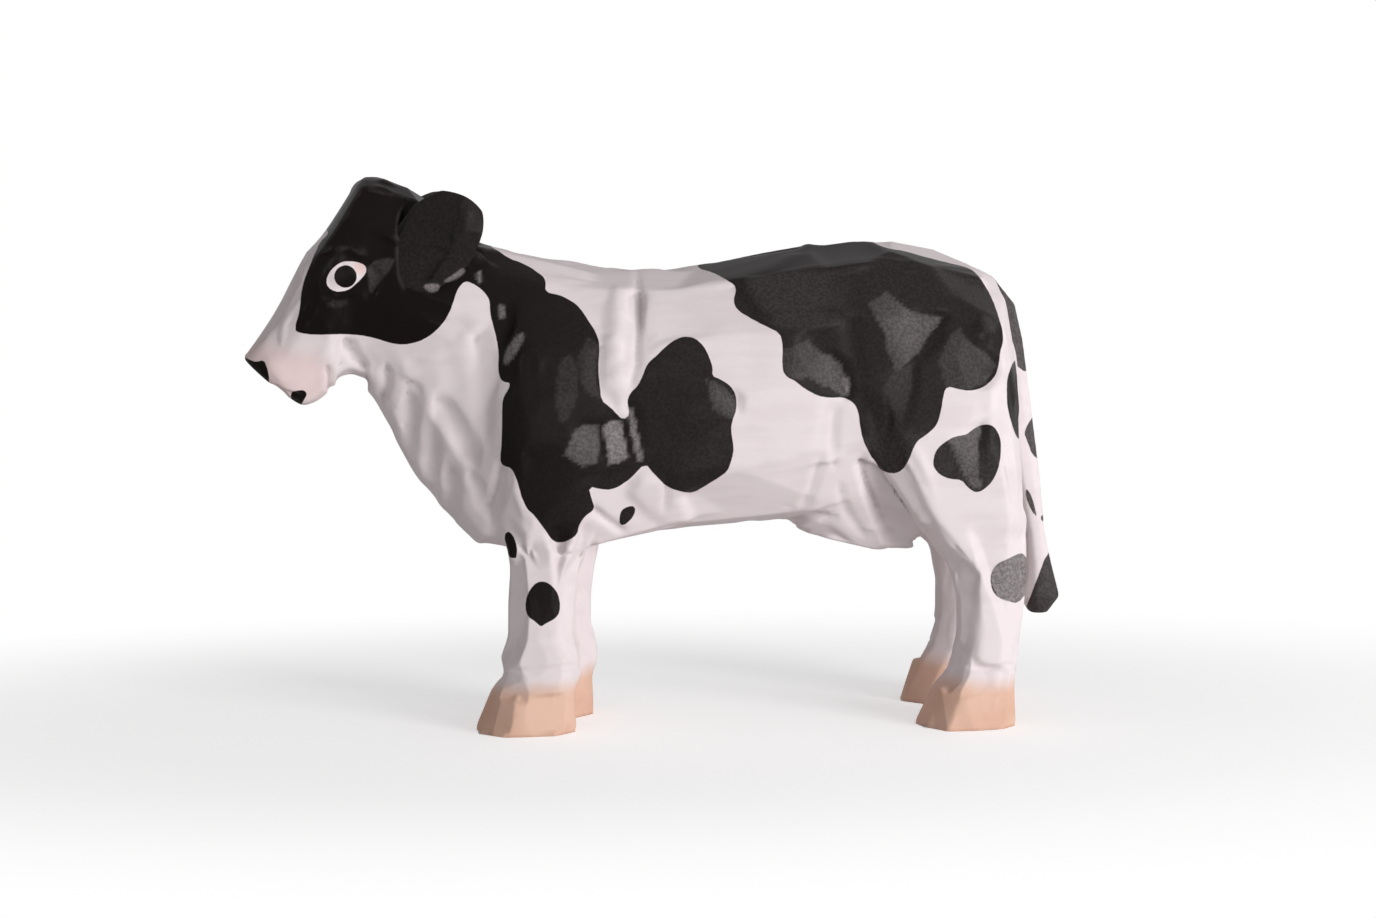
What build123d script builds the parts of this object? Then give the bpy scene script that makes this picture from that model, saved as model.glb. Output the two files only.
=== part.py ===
from build123d import *

import os

# A wooden cow, carved in separate blocks that are pegged and glued together, then painted.
# +Z is up and the hooves stand on Z = 0. The nose points to -X, and the cow's left flank faces -Y.
# The origin is on the floor, midway between nose and tail. Lengths are in millimetres.

# Trunk, from the withers back to the rump and from the leg joints up to the croup
TRUNK_LENGTH = 68.5
TRUNK_HEIGHT = 47.7
TRUNK_WIDTH = 35.0

# Neck, carved on the trunk's front and cut off square to its own run at the head joint
NECK_LENGTH = 22.0
NECK_WIDTH = 18.0

# Head, from the middle of the head joint to the nose and from the chin to the poll
HEAD_LENGTH = 26.4
HEAD_HEIGHT = 34.0
HEAD_WIDTH = 18.4

# Ears
EAR_LENGTH = 12.5
EAR_BREADTH = 11.0
EAR_THICKNESS = 4.6

# Legs, from the floor to the flat joints under the trunk
LEG_HEIGHT = 25.0
LEG_DEPTH = 13.0
LEG_WIDTH = 10.0
FORE_LEG_SPACING = 14.4
HIND_LEG_SPACING = 23.0
FORE_STRIDE = 4.2
HIND_STRIDE = 1.8

# Hooves
HOOF_HEIGHT = 6.0
HOOF_LENGTH = 14.8
HOOF_WIDTH = 12.0

# Udder
UDDER_LENGTH = 24.0
UDDER_WIDTH = 18.0
UDDER_CLEARANCE = 0.8

# The round gouge that carves the folds and hollows
GOUGE_DIAMETER = 5.0

# Tail
TAIL_LENGTH = 52.3
TAIL_WIDTH = 5.4
TAIL_THICKNESS = 4.4
TAIL_STAND_OFF = 7.9

# Dowels and pegs, with the glue film round them and the room for glue at their ends
NECK_DOWEL_DIAMETER = 4.0
NECK_DOWEL_LENGTH = 14.0
NECK_DOWEL_SPACING = 10.0
LEG_DOWEL_DIAMETER = 4.0
LEG_DOWEL_LENGTH = 16.0
EAR_PEG_DIAMETER = 2.0
EAR_PEG_LENGTH = 8.0
TAIL_PEG_DIAMETER = 2.0
TAIL_PEG_LENGTH = 6.0
DOWEL_CHAMFER = 0.4
GLUE_FILM = 0.1
GLUE_POCKET = 0.5

# The withers stand where nose and tail come out equally far from the origin.
WITHERS_X = (NECK_LENGTH + HEAD_LENGTH - TRUNK_LENGTH - TAIL_STAND_OFF) / 2
RUMP_X = WITHERS_X + TRUNK_LENGTH
FORE_LEG_X_SHARE = -0.066
HIND_LEG_X_SHARE = 0.912

# Half outlines of the carved cross-sections, from the top to the bottom: across, up
BARREL_OUTLINE_SHARES = (
    (0.24, 1), (0.62, 0.94), (0.92, 0.75), (1, 0.5), (0.9, 0.23), (0.56, 0.04), (0.22, 0),
)
NECK_OUTLINE_SHARES = (
    (0.3, 1), (0.68, 0.94), (0.95, 0.76), (1, 0.52), (0.86, 0.26), (0.54, 0.07), (0.22, 0),
)
HEAD_OUTLINE_SHARES = (
    (0.5, 1), (0.84, 0.95), (1, 0.78), (0.97, 0.54), (0.82, 0.3), (0.56, 0.07), (0.26, 0),
)
MUZZLE_OUTLINE_SHARES = (
    (0.46, 1), (0.8, 0.91), (1, 0.68), (1, 0.46), (0.9, 0.22), (0.66, 0.05), (0.32, 0),
)
UDDER_OUTLINE_SHARES = ((0.8, 1), (1, 0.62), (0.86, 0.24), (0.5, 0))

# Stations of the neck, from the head joint back: top along, top up, bottom along, bottom up, width.
# Along is a share of the neck's length before the withers, and up is a share of the trunk's height.
NECK_STATION_SHARES = (
    (0.7, 1.02, 1.3, 0.51, 1),
    (0.34, 0.96, 1.05, 0.275, 1.16),
)

# Stations of the barrel, from the withers back to the rump: top along, top up, bottom along, bottom up, width
BARREL_STATION_SHARES = (
    (0, 0.941, -0.204, 0.057, 0.76),
    (0.095, 0.908, 0, 0.031, 0.91),
    (0.248, 0.908, 0.234, 0.092, 0.97),
    (0.438, 0.956, 0.438, 0.124, 1),
    (0.642, 1, 0.642, 0.136, 0.97),
    (0.803, 0.971, 0.818, 0.178, 0.92),
    (0.92, 0.912, 0.964, 0.241, 0.78),
    (0.971, 0.839, 1, 0.346, 0.55),
)

# Stations of the head before the joint: top along, top up, bottom along, bottom up, width.
# Along is forward from the middle of the joint, and up is from that middle.
SKULL_STATION_SHARES = (
    (0.02, 0.545, 0.352, -0.275, 0.98),
    (0.212, 0.618, 0.43, -0.27, 0.94),
    (0.348, 0.602, 0.47, -0.285, 0.92),
    (0.5, 0.4, 0.515, -0.318, 1),
    (0.665, 0.25, 0.576, -0.366, 0.86),
)
MUZZLE_STATION_SHARES = (
    (0.83, 0, 0.644, -0.382, 0.7),
    (0.927, -0.1, 0.697, -0.37, 0.7),
    (1, -0.17, 0.775, -0.32, 0.54),
)

# Stations of the lower legs, from the joint down to the top of the hoof: up, front, back, width
FORE_LEG_STATION_SHARES = (
    (1, 0.36, 0.43, 1),
    (0.7, 0.385, 0.36, 0.9),
    (0.43, 0.385, 0.35, 0.9),
    (0.26, 0.47, 0.42, 1),
    (0.125, 0.43, 0.43, 0.96),
    (0, 0.577, 0.36, 1.06),
)
HIND_LEG_STATION_SHARES = (
    (1, 0.46, 0.44, 1),
    (0.7, 0.34, 0.42, 0.88),
    (0.41, 0.34, 0.37, 0.86),
    (0.25, 0.39, 0.34, 0.94),
    (0.12, 0.44, 0.32, 0.98),
    (0, 0.6, 0.3, 1.08),
)
HOOF_FRONT_SHARES = {"fore": 0.67, "hind": 0.72}
CORNER_SHARE = 0.29

# Stations of the shoulders and haunches above the leg joints: up, front, back, inner face, outer face
SHOULDER_STATION_SHARES = (
    (0.22, 0.577, 0.81, 0.14, 0.84),
    (0.45, 0.6, 1.04, 0.17, 0.95),
    (0.66, 0.5, 0.98, 0.17, 0.86),
    (0.85, 0.3, 0.8, 0.17, 0.5),
)
HAUNCH_STATION_SHARES = (
    (0.157, 0.96, 0.4, 0.31, 0.97),
    (0.325, 1.35, 0.34, 0.26, 1.02),
    (0.535, 1.58, 0.3, 0.23, 1.03),
    (0.74, 1.4, 0.2, 0.23, 0.93),
    (0.9, 1, 0, 0.23, 0.43),
)

# Stations of the udder, back from its front end: along, drop, width
UDDER_START_SHARE = 0.46
UDDER_ROOT_SHARE = 0.26
UDDER_STATION_SHARES = ((0, 0.5, 0.5), (0.33, 0.86, 0.9), (0.66, 1, 1), (0.88, 0.97, 0.9), (1, 0.75, 0.6))

# Folds and hollows, alike on both sides: where the gouge's middle starts and ends, just outside the skin.
# Along, up and out: in shares of the neck before the withers, and in shares of the trunk behind them.
NECK_FOLD_SHARES = (
    ((1.11, 0.57, 1.03), (1.13, 0.34, 0.6)),
    ((0.97, 0.48, 1.13), (1, 0.17, 0.54)),
    ((0.86, 0.34, 1.14), (0.88, 0.13, 0.56)),
    ((0.92, 0.53, 1.15), (0.7, 0.3, 1.33)),
)
TRUNK_FOLD_SHARES = (
    ((0.14, 0.9, 0.62), (0.11, 0.58, 1.1)),
    ((0.6, 0.86, 0.95), (0.63, 0.44, 1.12)),
    ((0.6, 0.34, 0.98), (0.68, 0.13, 0.66)),
)

# Stations of the tail, from its root in the rump down to the tuft: down, back, thickness, width
TAIL_ROOT_SHARE = 0.891
TAIL_STATION_SHARES = (
    (0, -0.418, 0.84, 0.85),
    (0.086, 0.05, 1.11, 1),
    (0.191, 0.215, 1.07, 0.96),
    (0.363, 0.38, 1.02, 0.89),
    (0.593, 0.595, 0.95, 0.81),
    (0.765, 0.71, 0.68, 0.67),
    (0.86, 0.848, 0.89, 0.93),
    (0.95, 1, 1.32, 1.19),
    (1, 0.77, 0.59, 0.65),
)
TAIL_PEG_DOWN_SHARE = 0.2
TAIL_PEG_INSET_SHARE = 0.34

# Ears: the root on the head's side, the way that they point, and their stations: along, breadth, thickness
EAR_ROOT_ALONG_SHARE = 0.04
EAR_ROOT_UP_SHARE = 0.272
EAR_ROOT_SIDE_SHARE = 0.82
EAR_POINTS_SHARES = (0.663, 0.386, 0.643)
EAR_PEG_OUT_SHARE = 0.06
EAR_STATION_SHARES = (
    (-0.62, 0.45, 0.7),
    (-0.34, 0.82, 0.95),
    (0.1, 1, 1),
    (0.55, 0.98, 0.95),
    (0.84, 0.74, 0.75),
    (1, 0.36, 0.45),
)

LEFT = -1
RIGHT = 1
SIDE_NAMES = {LEFT: "left", RIGHT: "right"}


def carved_section(top, bottom, width, outline_shares):
    """An upright section across the middle plane, between a top and a bottom point of the profile."""
    rise = top - bottom
    across = Vector(0, 1, 0)
    half = [(side * width / 2, up * rise.length) for side, up in outline_shares]
    other_half = [(-side, up) for side, up in reversed(half)]
    with BuildSketch(Plane(origin=bottom, x_dir=across, z_dir=across.cross(rise))) as outline:
        with BuildLine():
            Polyline(*half, *other_half, close=True)
        make_face()
    return outline.sketch


def level_section(height, front, back, middle_y, width):
    """A level eight-sided section, from its front to its back edge along X."""
    corner = CORNER_SHARE * min(back - front, width)
    with BuildSketch(Plane.XY.offset(height)) as outline:
        with Locations(((front + back) / 2, middle_y)):
            Rectangle(back - front, width)
        chamfer(outline.vertices(), corner)
    return outline.sketch


def trunk_point(along, up):
    """A point of the middle plane, back from the withers and up from the leg joints."""
    return Vector(WITHERS_X + along, 0, LEG_HEIGHT + up)


def neck_profile(top_along, top_up, bottom_along, bottom_up):
    """The top and bottom points of the neck at a station."""
    top = trunk_point(-top_along * NECK_LENGTH, top_up * TRUNK_HEIGHT)
    bottom = trunk_point(-bottom_along * NECK_LENGTH, bottom_up * TRUNK_HEIGHT)
    return top, bottom


def neck_section(*profile, width):
    """A station of the neck."""
    top, bottom = neck_profile(*profile)
    return carved_section(top, bottom, width * NECK_WIDTH, NECK_OUTLINE_SHARES)


def barrel_section(top_along, top_up, bottom_along, bottom_up, width):
    """A station of the barrel."""
    top = trunk_point(top_along * TRUNK_LENGTH, top_up * TRUNK_HEIGHT)
    bottom = trunk_point(bottom_along * TRUNK_LENGTH, bottom_up * TRUNK_HEIGHT)
    return carved_section(top, bottom, width * TRUNK_WIDTH, BARREL_OUTLINE_SHARES)


# The head joint: a flat cut across the neck, whose plane faces back into the trunk
joint_top, joint_bottom = neck_profile(*NECK_STATION_SHARES[0][:-1])
joint_middle = (joint_top + joint_bottom) / 2
joint_across = Vector(0, 1, 0)
head_joint = Plane(joint_middle, x_dir=joint_across, z_dir=joint_across.cross(joint_top - joint_bottom))


def head_point(along, up):
    """A point of the middle plane, forward and up from the middle of the head joint."""
    return joint_middle + Vector(-along * HEAD_LENGTH, 0, up * HEAD_HEIGHT)


def head_section(station, outline_shares):
    """A station of the head."""
    top_along, top_up, bottom_along, bottom_up, width = station
    top = head_point(top_along, top_up)
    bottom = head_point(bottom_along, bottom_up)
    return carved_section(top, bottom, width * HEAD_WIDTH, outline_shares)


# The four leg joints, flat and level, each with its own middle
legs = {
    f"{pair}_leg_{SIDE_NAMES[side]}": (pair, side)
    for pair in ("fore", "hind")
    for side in (LEFT, RIGHT)
}


def leg_middle(pair, side):
    """The middle of a leg's joint with the trunk: the right leg of a pair steps back by the stride."""
    if pair == "fore":
        stride = FORE_STRIDE if side == RIGHT else 0
        return WITHERS_X + FORE_LEG_X_SHARE * TRUNK_LENGTH + stride, side * FORE_LEG_SPACING / 2
    stride = HIND_STRIDE if side == RIGHT else 0
    return WITHERS_X + HIND_LEG_X_SHARE * TRUNK_LENGTH + stride, side * HIND_LEG_SPACING / 2


def leg_section(pair, side, up, front, back, width):
    """A station of a lower leg, between its joint and the top of its hoof."""
    middle_x, middle_y = leg_middle(pair, side)
    height = HOOF_HEIGHT + up * (LEG_HEIGHT - HOOF_HEIGHT)
    front_x = middle_x - front * LEG_DEPTH
    back_x = middle_x + back * LEG_DEPTH
    return level_section(height, front_x, back_x, middle_y, width * LEG_WIDTH)


def sole_section(pair, side):
    """The flat sole of a hoof, on the floor."""
    middle_x, middle_y = leg_middle(pair, side)
    front_x = middle_x - HOOF_FRONT_SHARES[pair] * HOOF_LENGTH
    return level_section(0, front_x, front_x + HOOF_LENGTH, middle_y, HOOF_WIDTH)


def flank_section(pair, side, up, front, back, inner, outer):
    """A station of a shoulder or haunch, above the leg joint, between its inner and outer faces."""
    middle_x = leg_middle(pair, LEFT)[0]
    inner_y = inner * TRUNK_WIDTH / 2
    outer_y = outer * TRUNK_WIDTH / 2
    height = LEG_HEIGHT + up * TRUNK_HEIGHT
    front_x = middle_x - front * LEG_DEPTH
    back_x = middle_x + back * LEG_DEPTH
    return level_section(height, front_x, back_x, side * (inner_y + outer_y) / 2, outer_y - inner_y)


def udder_section(along, drop, width):
    """A station of the udder, from its root in the belly down to its lowest line."""
    start = UDDER_START_SHARE * TRUNK_LENGTH
    root = trunk_point(start + along * UDDER_LENGTH, UDDER_ROOT_SHARE * TRUNK_HEIGHT)
    depth = root.Z - LEG_HEIGHT - UDDER_CLEARANCE
    return carved_section(root, root - Vector(0, 0, drop * depth), width * UDDER_WIDTH, UDDER_OUTLINE_SHARES)


def fold_runs(side):
    """The runs of the folds and hollows on one side, each as its start and end."""
    runs = []
    for shares, length, width in (
        (NECK_FOLD_SHARES, -NECK_LENGTH, NECK_WIDTH),
        (TRUNK_FOLD_SHARES, TRUNK_LENGTH, TRUNK_WIDTH),
    ):
        for run in shares:
            places = [(trunk_point(along * length, up * TRUNK_HEIGHT), out) for along, up, out in run]
            runs.append([place + Vector(0, side * out * width / 2, 0) for place, out in places])
    return runs


def gouge(start, end):
    """Cuts one fold into the part that is being built."""
    with Locations(Plane((start + end) / 2, z_dir=end - start)):
        Cylinder(GOUGE_DIAMETER / 2, (end - start).length, mode=Mode.SUBTRACT)


def tail_section(down, back, thickness, width):
    """A level station of the tail, whose back face stands off the rump's end."""
    height = LEG_HEIGHT + TAIL_ROOT_SHARE * TRUNK_HEIGHT - down * TAIL_LENGTH
    back_x = RUMP_X + back * TAIL_STAND_OFF
    return level_section(height, back_x - thickness * TAIL_THICKNESS, back_x, 0, width * TAIL_WIDTH)


def ear_axis(side):
    """The ear's root on the side of the head and the direction in which it points."""
    root = head_point(EAR_ROOT_ALONG_SHARE, EAR_ROOT_UP_SHARE)
    root += Vector(0, side * EAR_ROOT_SIDE_SHARE * HEAD_WIDTH / 2, 0)
    back, out, up = EAR_POINTS_SHARES
    return root, Vector(back, side * out, up).normalized()


def ear_section(side, along, breadth, thickness):
    """A lens-shaped station of an ear, square to the way that it points."""
    root, direction = ear_axis(side)
    upward = Vector(0, 0, 1) - direction * direction.Z
    half_breadth = breadth * EAR_BREADTH / 2
    half_thickness = thickness * EAR_THICKNESS / 2
    with BuildSketch(Plane(root + direction * along * EAR_LENGTH, x_dir=upward, z_dir=direction)) as outline:
        with BuildLine():
            Polyline(
                (half_breadth, 0),
                (half_breadth / 2, half_thickness),
                (-half_breadth / 2, half_thickness),
                (-half_breadth, 0),
                (-half_breadth / 2, -half_thickness),
                (half_breadth / 2, -half_thickness),
                close=True,
            )
        make_face()
    return outline.sketch


# Where each dowel and peg sits: the plane across its middle, its diameter and its length
dowels = {}
for place, step in (("upper", 1), ("lower", -1)):
    rise = head_joint.y_dir * step * NECK_DOWEL_SPACING / 2
    plane = Plane(head_joint.origin + rise, x_dir=head_joint.x_dir, z_dir=head_joint.z_dir)
    dowels[f"neck_dowel_{place}"] = (plane, NECK_DOWEL_DIAMETER, NECK_DOWEL_LENGTH)
for leg, (pair, side) in legs.items():
    plane = Plane(Vector(*leg_middle(pair, side), LEG_HEIGHT))
    dowels[f"{leg}_dowel"] = (plane, LEG_DOWEL_DIAMETER, LEG_DOWEL_LENGTH)
for side, side_name in SIDE_NAMES.items():
    root, direction = ear_axis(side)
    plane = Plane(root + direction * EAR_PEG_OUT_SHARE * EAR_LENGTH, z_dir=direction)
    dowels[f"ear_peg_{side_name}"] = (plane, EAR_PEG_DIAMETER, EAR_PEG_LENGTH)
tail_peg_x = RUMP_X - TAIL_PEG_INSET_SHARE * TAIL_STAND_OFF
tail_peg_height = LEG_HEIGHT + TAIL_ROOT_SHARE * TRUNK_HEIGHT - TAIL_PEG_DOWN_SHARE * TAIL_LENGTH
tail_peg_plane = Plane(Vector(tail_peg_x, 0, tail_peg_height), z_dir=(1, 0, 0))
dowels["tail_peg"] = (tail_peg_plane, TAIL_PEG_DIAMETER, TAIL_PEG_LENGTH)


def drill(*names):
    """Bores the sockets of the named dowels into the part that is being built."""
    for name in names:
        plane, diameter, length = dowels[name]
        with Locations(plane):
            Cylinder(diameter / 2 + GLUE_FILM, length + 2 * GLUE_POCKET, mode=Mode.SUBTRACT)


parts = {}

# Trunk: the barrel with its neck, then the udder, the shoulders and the haunches
with BuildPart() as trunk:
    neck_stations = [neck_section(*profile, width=width) for *profile, width in NECK_STATION_SHARES]
    loft(neck_stations + [barrel_section(*station) for station in BARREL_STATION_SHARES], ruled=True)
    loft([udder_section(*station) for station in UDDER_STATION_SHARES], ruled=True)
    for pair, stations, leg_stations in (
        ("fore", SHOULDER_STATION_SHARES, FORE_LEG_STATION_SHARES),
        ("hind", HAUNCH_STATION_SHARES, HIND_LEG_STATION_SHARES),
    ):
        for side in (LEFT, RIGHT):
            joint = leg_section(pair, side, *leg_stations[0])
            loft([joint] + [flank_section(pair, side, *station) for station in stations], ruled=True)
    for side in (LEFT, RIGHT):
        for start, end in fold_runs(side):
            gouge(start, end)
    drill("neck_dowel_upper", "neck_dowel_lower", "tail_peg", *[f"{leg}_dowel" for leg in legs])
parts["trunk"] = trunk.part

# Head, from the neck joint to the muzzle
with BuildPart() as head:
    *profile, width = NECK_STATION_SHARES[0]
    joint = neck_section(*profile, width=width)
    skull = [head_section(station, HEAD_OUTLINE_SHARES) for station in SKULL_STATION_SHARES]
    muzzle = [head_section(station, MUZZLE_OUTLINE_SHARES) for station in MUZZLE_STATION_SHARES]
    loft([joint] + skull + muzzle, ruled=True)
    drill("neck_dowel_upper", "neck_dowel_lower", "ear_peg_left", "ear_peg_right")
parts["head"] = head.part

# Ears, each hollowed at its root to sit on the head and on the neck behind it
for side, side_name in SIDE_NAMES.items():
    with BuildPart() as ear:
        loft([ear_section(side, *station) for station in EAR_STATION_SHARES], ruled=True)
        add(head.part, mode=Mode.SUBTRACT)
        add(trunk.part, mode=Mode.SUBTRACT)
        drill(f"ear_peg_{side_name}")
    parts[f"ear_{side_name}"] = ear.part

# Lower legs, each with its hoof
for leg, (pair, side) in legs.items():
    stations = FORE_LEG_STATION_SHARES if pair == "fore" else HIND_LEG_STATION_SHARES
    with BuildPart() as lower_leg:
        shank = [leg_section(pair, side, *station) for station in stations]
        loft(shank + [sole_section(pair, side)], ruled=True)
        drill(f"{leg}_dowel")
    parts[leg] = lower_leg.part

# Tail, hollowed to lie on the rump
with BuildPart() as tail:
    loft([tail_section(*station) for station in TAIL_STATION_SHARES], ruled=True)
    add(trunk.part, mode=Mode.SUBTRACT)
    drill("tail_peg")
parts["tail"] = tail.part

# Dowels and pegs, with chamfered ends
for name, (plane, diameter, length) in dowels.items():
    with BuildPart() as dowel:
        with Locations(plane):
            Cylinder(diameter / 2, length)
        chamfer(dowel.edges().filter_by(GeomType.CIRCLE), DOWEL_CHAMFER)
    parts[name] = dowel.part

os.makedirs("parts", exist_ok=True)
for name, part in parts.items():
    part.label = name
    export_step(part, f"parts/{name}.step")
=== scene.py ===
"""A carved and painted wooden cow, dressed over the frame of its pegged and glued blocks."""

import logging
import math
from collections.abc import Callable, Iterable, Iterator
from contextlib import contextmanager
from dataclasses import dataclass
from enum import Enum

import bmesh
import bpy
import numpy as np
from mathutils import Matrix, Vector


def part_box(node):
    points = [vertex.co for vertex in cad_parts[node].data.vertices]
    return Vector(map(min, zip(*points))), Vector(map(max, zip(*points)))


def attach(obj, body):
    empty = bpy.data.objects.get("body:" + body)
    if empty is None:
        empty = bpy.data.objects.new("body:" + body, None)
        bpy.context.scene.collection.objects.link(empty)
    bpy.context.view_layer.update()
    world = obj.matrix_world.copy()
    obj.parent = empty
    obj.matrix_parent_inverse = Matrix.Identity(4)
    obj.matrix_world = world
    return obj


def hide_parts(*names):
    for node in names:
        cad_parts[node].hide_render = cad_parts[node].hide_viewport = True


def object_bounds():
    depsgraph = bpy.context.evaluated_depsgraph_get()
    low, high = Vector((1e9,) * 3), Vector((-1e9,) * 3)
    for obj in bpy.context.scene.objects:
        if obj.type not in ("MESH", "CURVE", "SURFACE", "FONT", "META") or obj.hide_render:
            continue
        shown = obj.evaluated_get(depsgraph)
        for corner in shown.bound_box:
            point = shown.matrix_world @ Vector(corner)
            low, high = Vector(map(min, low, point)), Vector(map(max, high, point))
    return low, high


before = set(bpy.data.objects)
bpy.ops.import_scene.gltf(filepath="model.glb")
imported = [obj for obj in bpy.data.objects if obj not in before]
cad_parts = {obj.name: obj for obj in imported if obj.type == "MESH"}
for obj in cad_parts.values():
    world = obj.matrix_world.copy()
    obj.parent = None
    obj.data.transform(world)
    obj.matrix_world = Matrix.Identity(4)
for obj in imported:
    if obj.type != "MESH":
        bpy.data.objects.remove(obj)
CAD_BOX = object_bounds()

MM = 0.001
BODY = "root"
# Keeps a sum from dividing by nothing.
TINY = 1e-12
# Corners of a block's faces closer than this are one corner.
WELD = MM / 1000
# Points closer than this to a saw cut lie on it.
KERF = MM / 10000
# The share of each side that one rounding takes off an outline's corner.
CORNER_CUT = 0.25
# How far one sanding pass moves a point to the middle of its neighbours.
SANDING = 0.5
# The distance over which a crease is measured, and how often the result is evened out.
CREASE_REACH = 0.5 * MM
CREASE_ROUNDS = 3

log = logging.getLogger("cow")

Array = np.ndarray
Pixel = tuple[float, float]
Path = tuple[tuple[float, float], ...]
Span = tuple[float, float]
Place = tuple[float, float, float]
Colour = tuple[float, float, float, float]


class Block(Enum):
    """The carved blocks that one smooth skin runs over."""

    TRUNK = "trunk"
    HEAD = "head"
    FORE_LEFT = "fore_leg_left"
    FORE_RIGHT = "fore_leg_right"
    HIND_LEFT = "hind_leg_left"
    HIND_RIGHT = "hind_leg_right"


class Layer(Enum):
    """The painted layers, as point attributes that the coat's finish reads."""

    BLACK = "black"
    BLUSH = "blush"
    # How deep the skin lies in a crease: the finish paints shade into the creases and highlight along the
    # ridges from it.
    CREASE = "crease"
    # How strongly a painted highlight lightens the black paint.
    SHEEN = "sheen"


class Side(Enum):
    """The cow's sides, as the sign of Y."""

    LEFT = -1
    RIGHT = 1


class Slot(Enum):
    """The record's names for the coat's two finishes."""

    WHITE = "white_coat"
    BLACK = "black_coat"


def smooth_step(value: Array, low: float, high: float) -> Array:
    """Eases from 0 at low to 1 at high.

    Args:
        value: The values to ease.
        low: Where the step starts.
        high: Where the step ends.

    Returns:
        The eased values.
    """
    t = np.clip((value - low) / (high - low), 0.0, 1.0)
    return t * t * (3.0 - 2.0 * t)


def smooth_fall(value: Array, low: float, high: float) -> Array:
    """Eases from 1 at low to 0 at high."""
    return smooth_step(-value, -high, -low)


def sum_by(own: Array, values: Array, count: int) -> Array:
    """Adds up the rows of values that have the same owner, for each of a number of owners."""
    return np.stack([np.bincount(own, column, count) for column in values.T], axis=1)


def way_to_ring(points: Array, ring: Array) -> Array:
    """Measures how far points lie from a closed line in their plane.

    Args:
        points: The points, in two dimensions.
        ring: The line's corners.

    Returns:
        The distance of each point.
    """
    x, y = points[:, 0], points[:, 1]
    nearest = np.full(len(points), np.inf)
    for (ax, ay), (bx, by) in zip(ring, np.roll(ring, -1, axis=0)):
        length = max(math.hypot(bx - ax, by - ay), TINY)
        run_x, run_y = (bx - ax) / length, (by - ay) / length
        off_x, off_y = x - ax, y - ay
        reach = np.clip(off_x * run_x + off_y * run_y, 0.0, length)
        np.minimum(nearest, (off_x - reach * run_x) ** 2 + (off_y - reach * run_y) ** 2, out=nearest)
    return np.sqrt(nearest)


def way_along(points: Array, path: Path) -> tuple[Array, Array]:
    """Measures points against an open line in their plane.

    Args:
        points: The points, in two dimensions.
        path: The line's corners.

    Returns:
        The distance to the line, and how far along it the nearest place lies, from 0 to 1.
    """
    corners = np.asarray(path, dtype=float)
    lengths = np.maximum(np.linalg.norm(corners[1:] - corners[:-1], axis=1), TINY)
    before = np.concatenate([[0.0], np.cumsum(lengths)])
    nearest = np.full(len(points), np.inf)
    along = np.zeros(len(points))
    for start, end, length, travelled in zip(corners, corners[1:], lengths, before):
        run = (end - start) / length
        reach = np.clip((points - start) @ run, 0.0, length)
        gap = np.linalg.norm(points - start - reach[:, None] * run, axis=1)
        closer = gap < nearest
        nearest[closer] = gap[closer]
        along[closer] = ((travelled + reach) / before[-1])[closer]
    return nearest, along


@dataclass(frozen=True)
class Outline:
    """A closed outline with its corners rounded, as a brush leaves it."""

    corners: Path
    roundings: int = 2

    def curve(self) -> Array:
        """Cuts the corners off, again and again.

        Returns:
            The rounded outline's points.
        """
        cut, kept = CORNER_CUT, 1.0 - CORNER_CUT
        points = np.asarray(self.corners, dtype=float)
        for _ in range(self.roundings):
            after = np.roll(points, -1, axis=0)
            points = np.stack([kept * points + cut * after, cut * points + kept * after], axis=1).reshape(-1, 2)
        return points

    def depth(self, points: Array, margin: float) -> Array:
        """Measures how deep points lie inside the outline, negative outside it.

        Args:
            points: Points in the outline's plane.
            margin: The distance outside it past which only this distance is given.

        Returns:
            The signed depth of each point.
        """
        curve = self.curve()
        low, high = curve.min(axis=0) - margin, curve.max(axis=0) + margin
        close = np.all((points > low) & (points < high), axis=1)
        near = points[close]
        gap = way_to_ring(near, curve)
        inside = np.zeros(len(near), dtype=bool)
        for (ax, ay), (bx, by) in zip(curve, np.roll(curve, -1, axis=0)):
            spans = (ay > near[:, 1]) != (by > near[:, 1])
            rise = by - ay if by != ay else TINY
            inside ^= spans & (near[:, 0] < (bx - ax) * (near[:, 1] - ay) / rise + ax)
        result = np.full(len(points), -margin)
        result[close] = np.where(inside, gap, -np.minimum(gap, margin))
        return result


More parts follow.
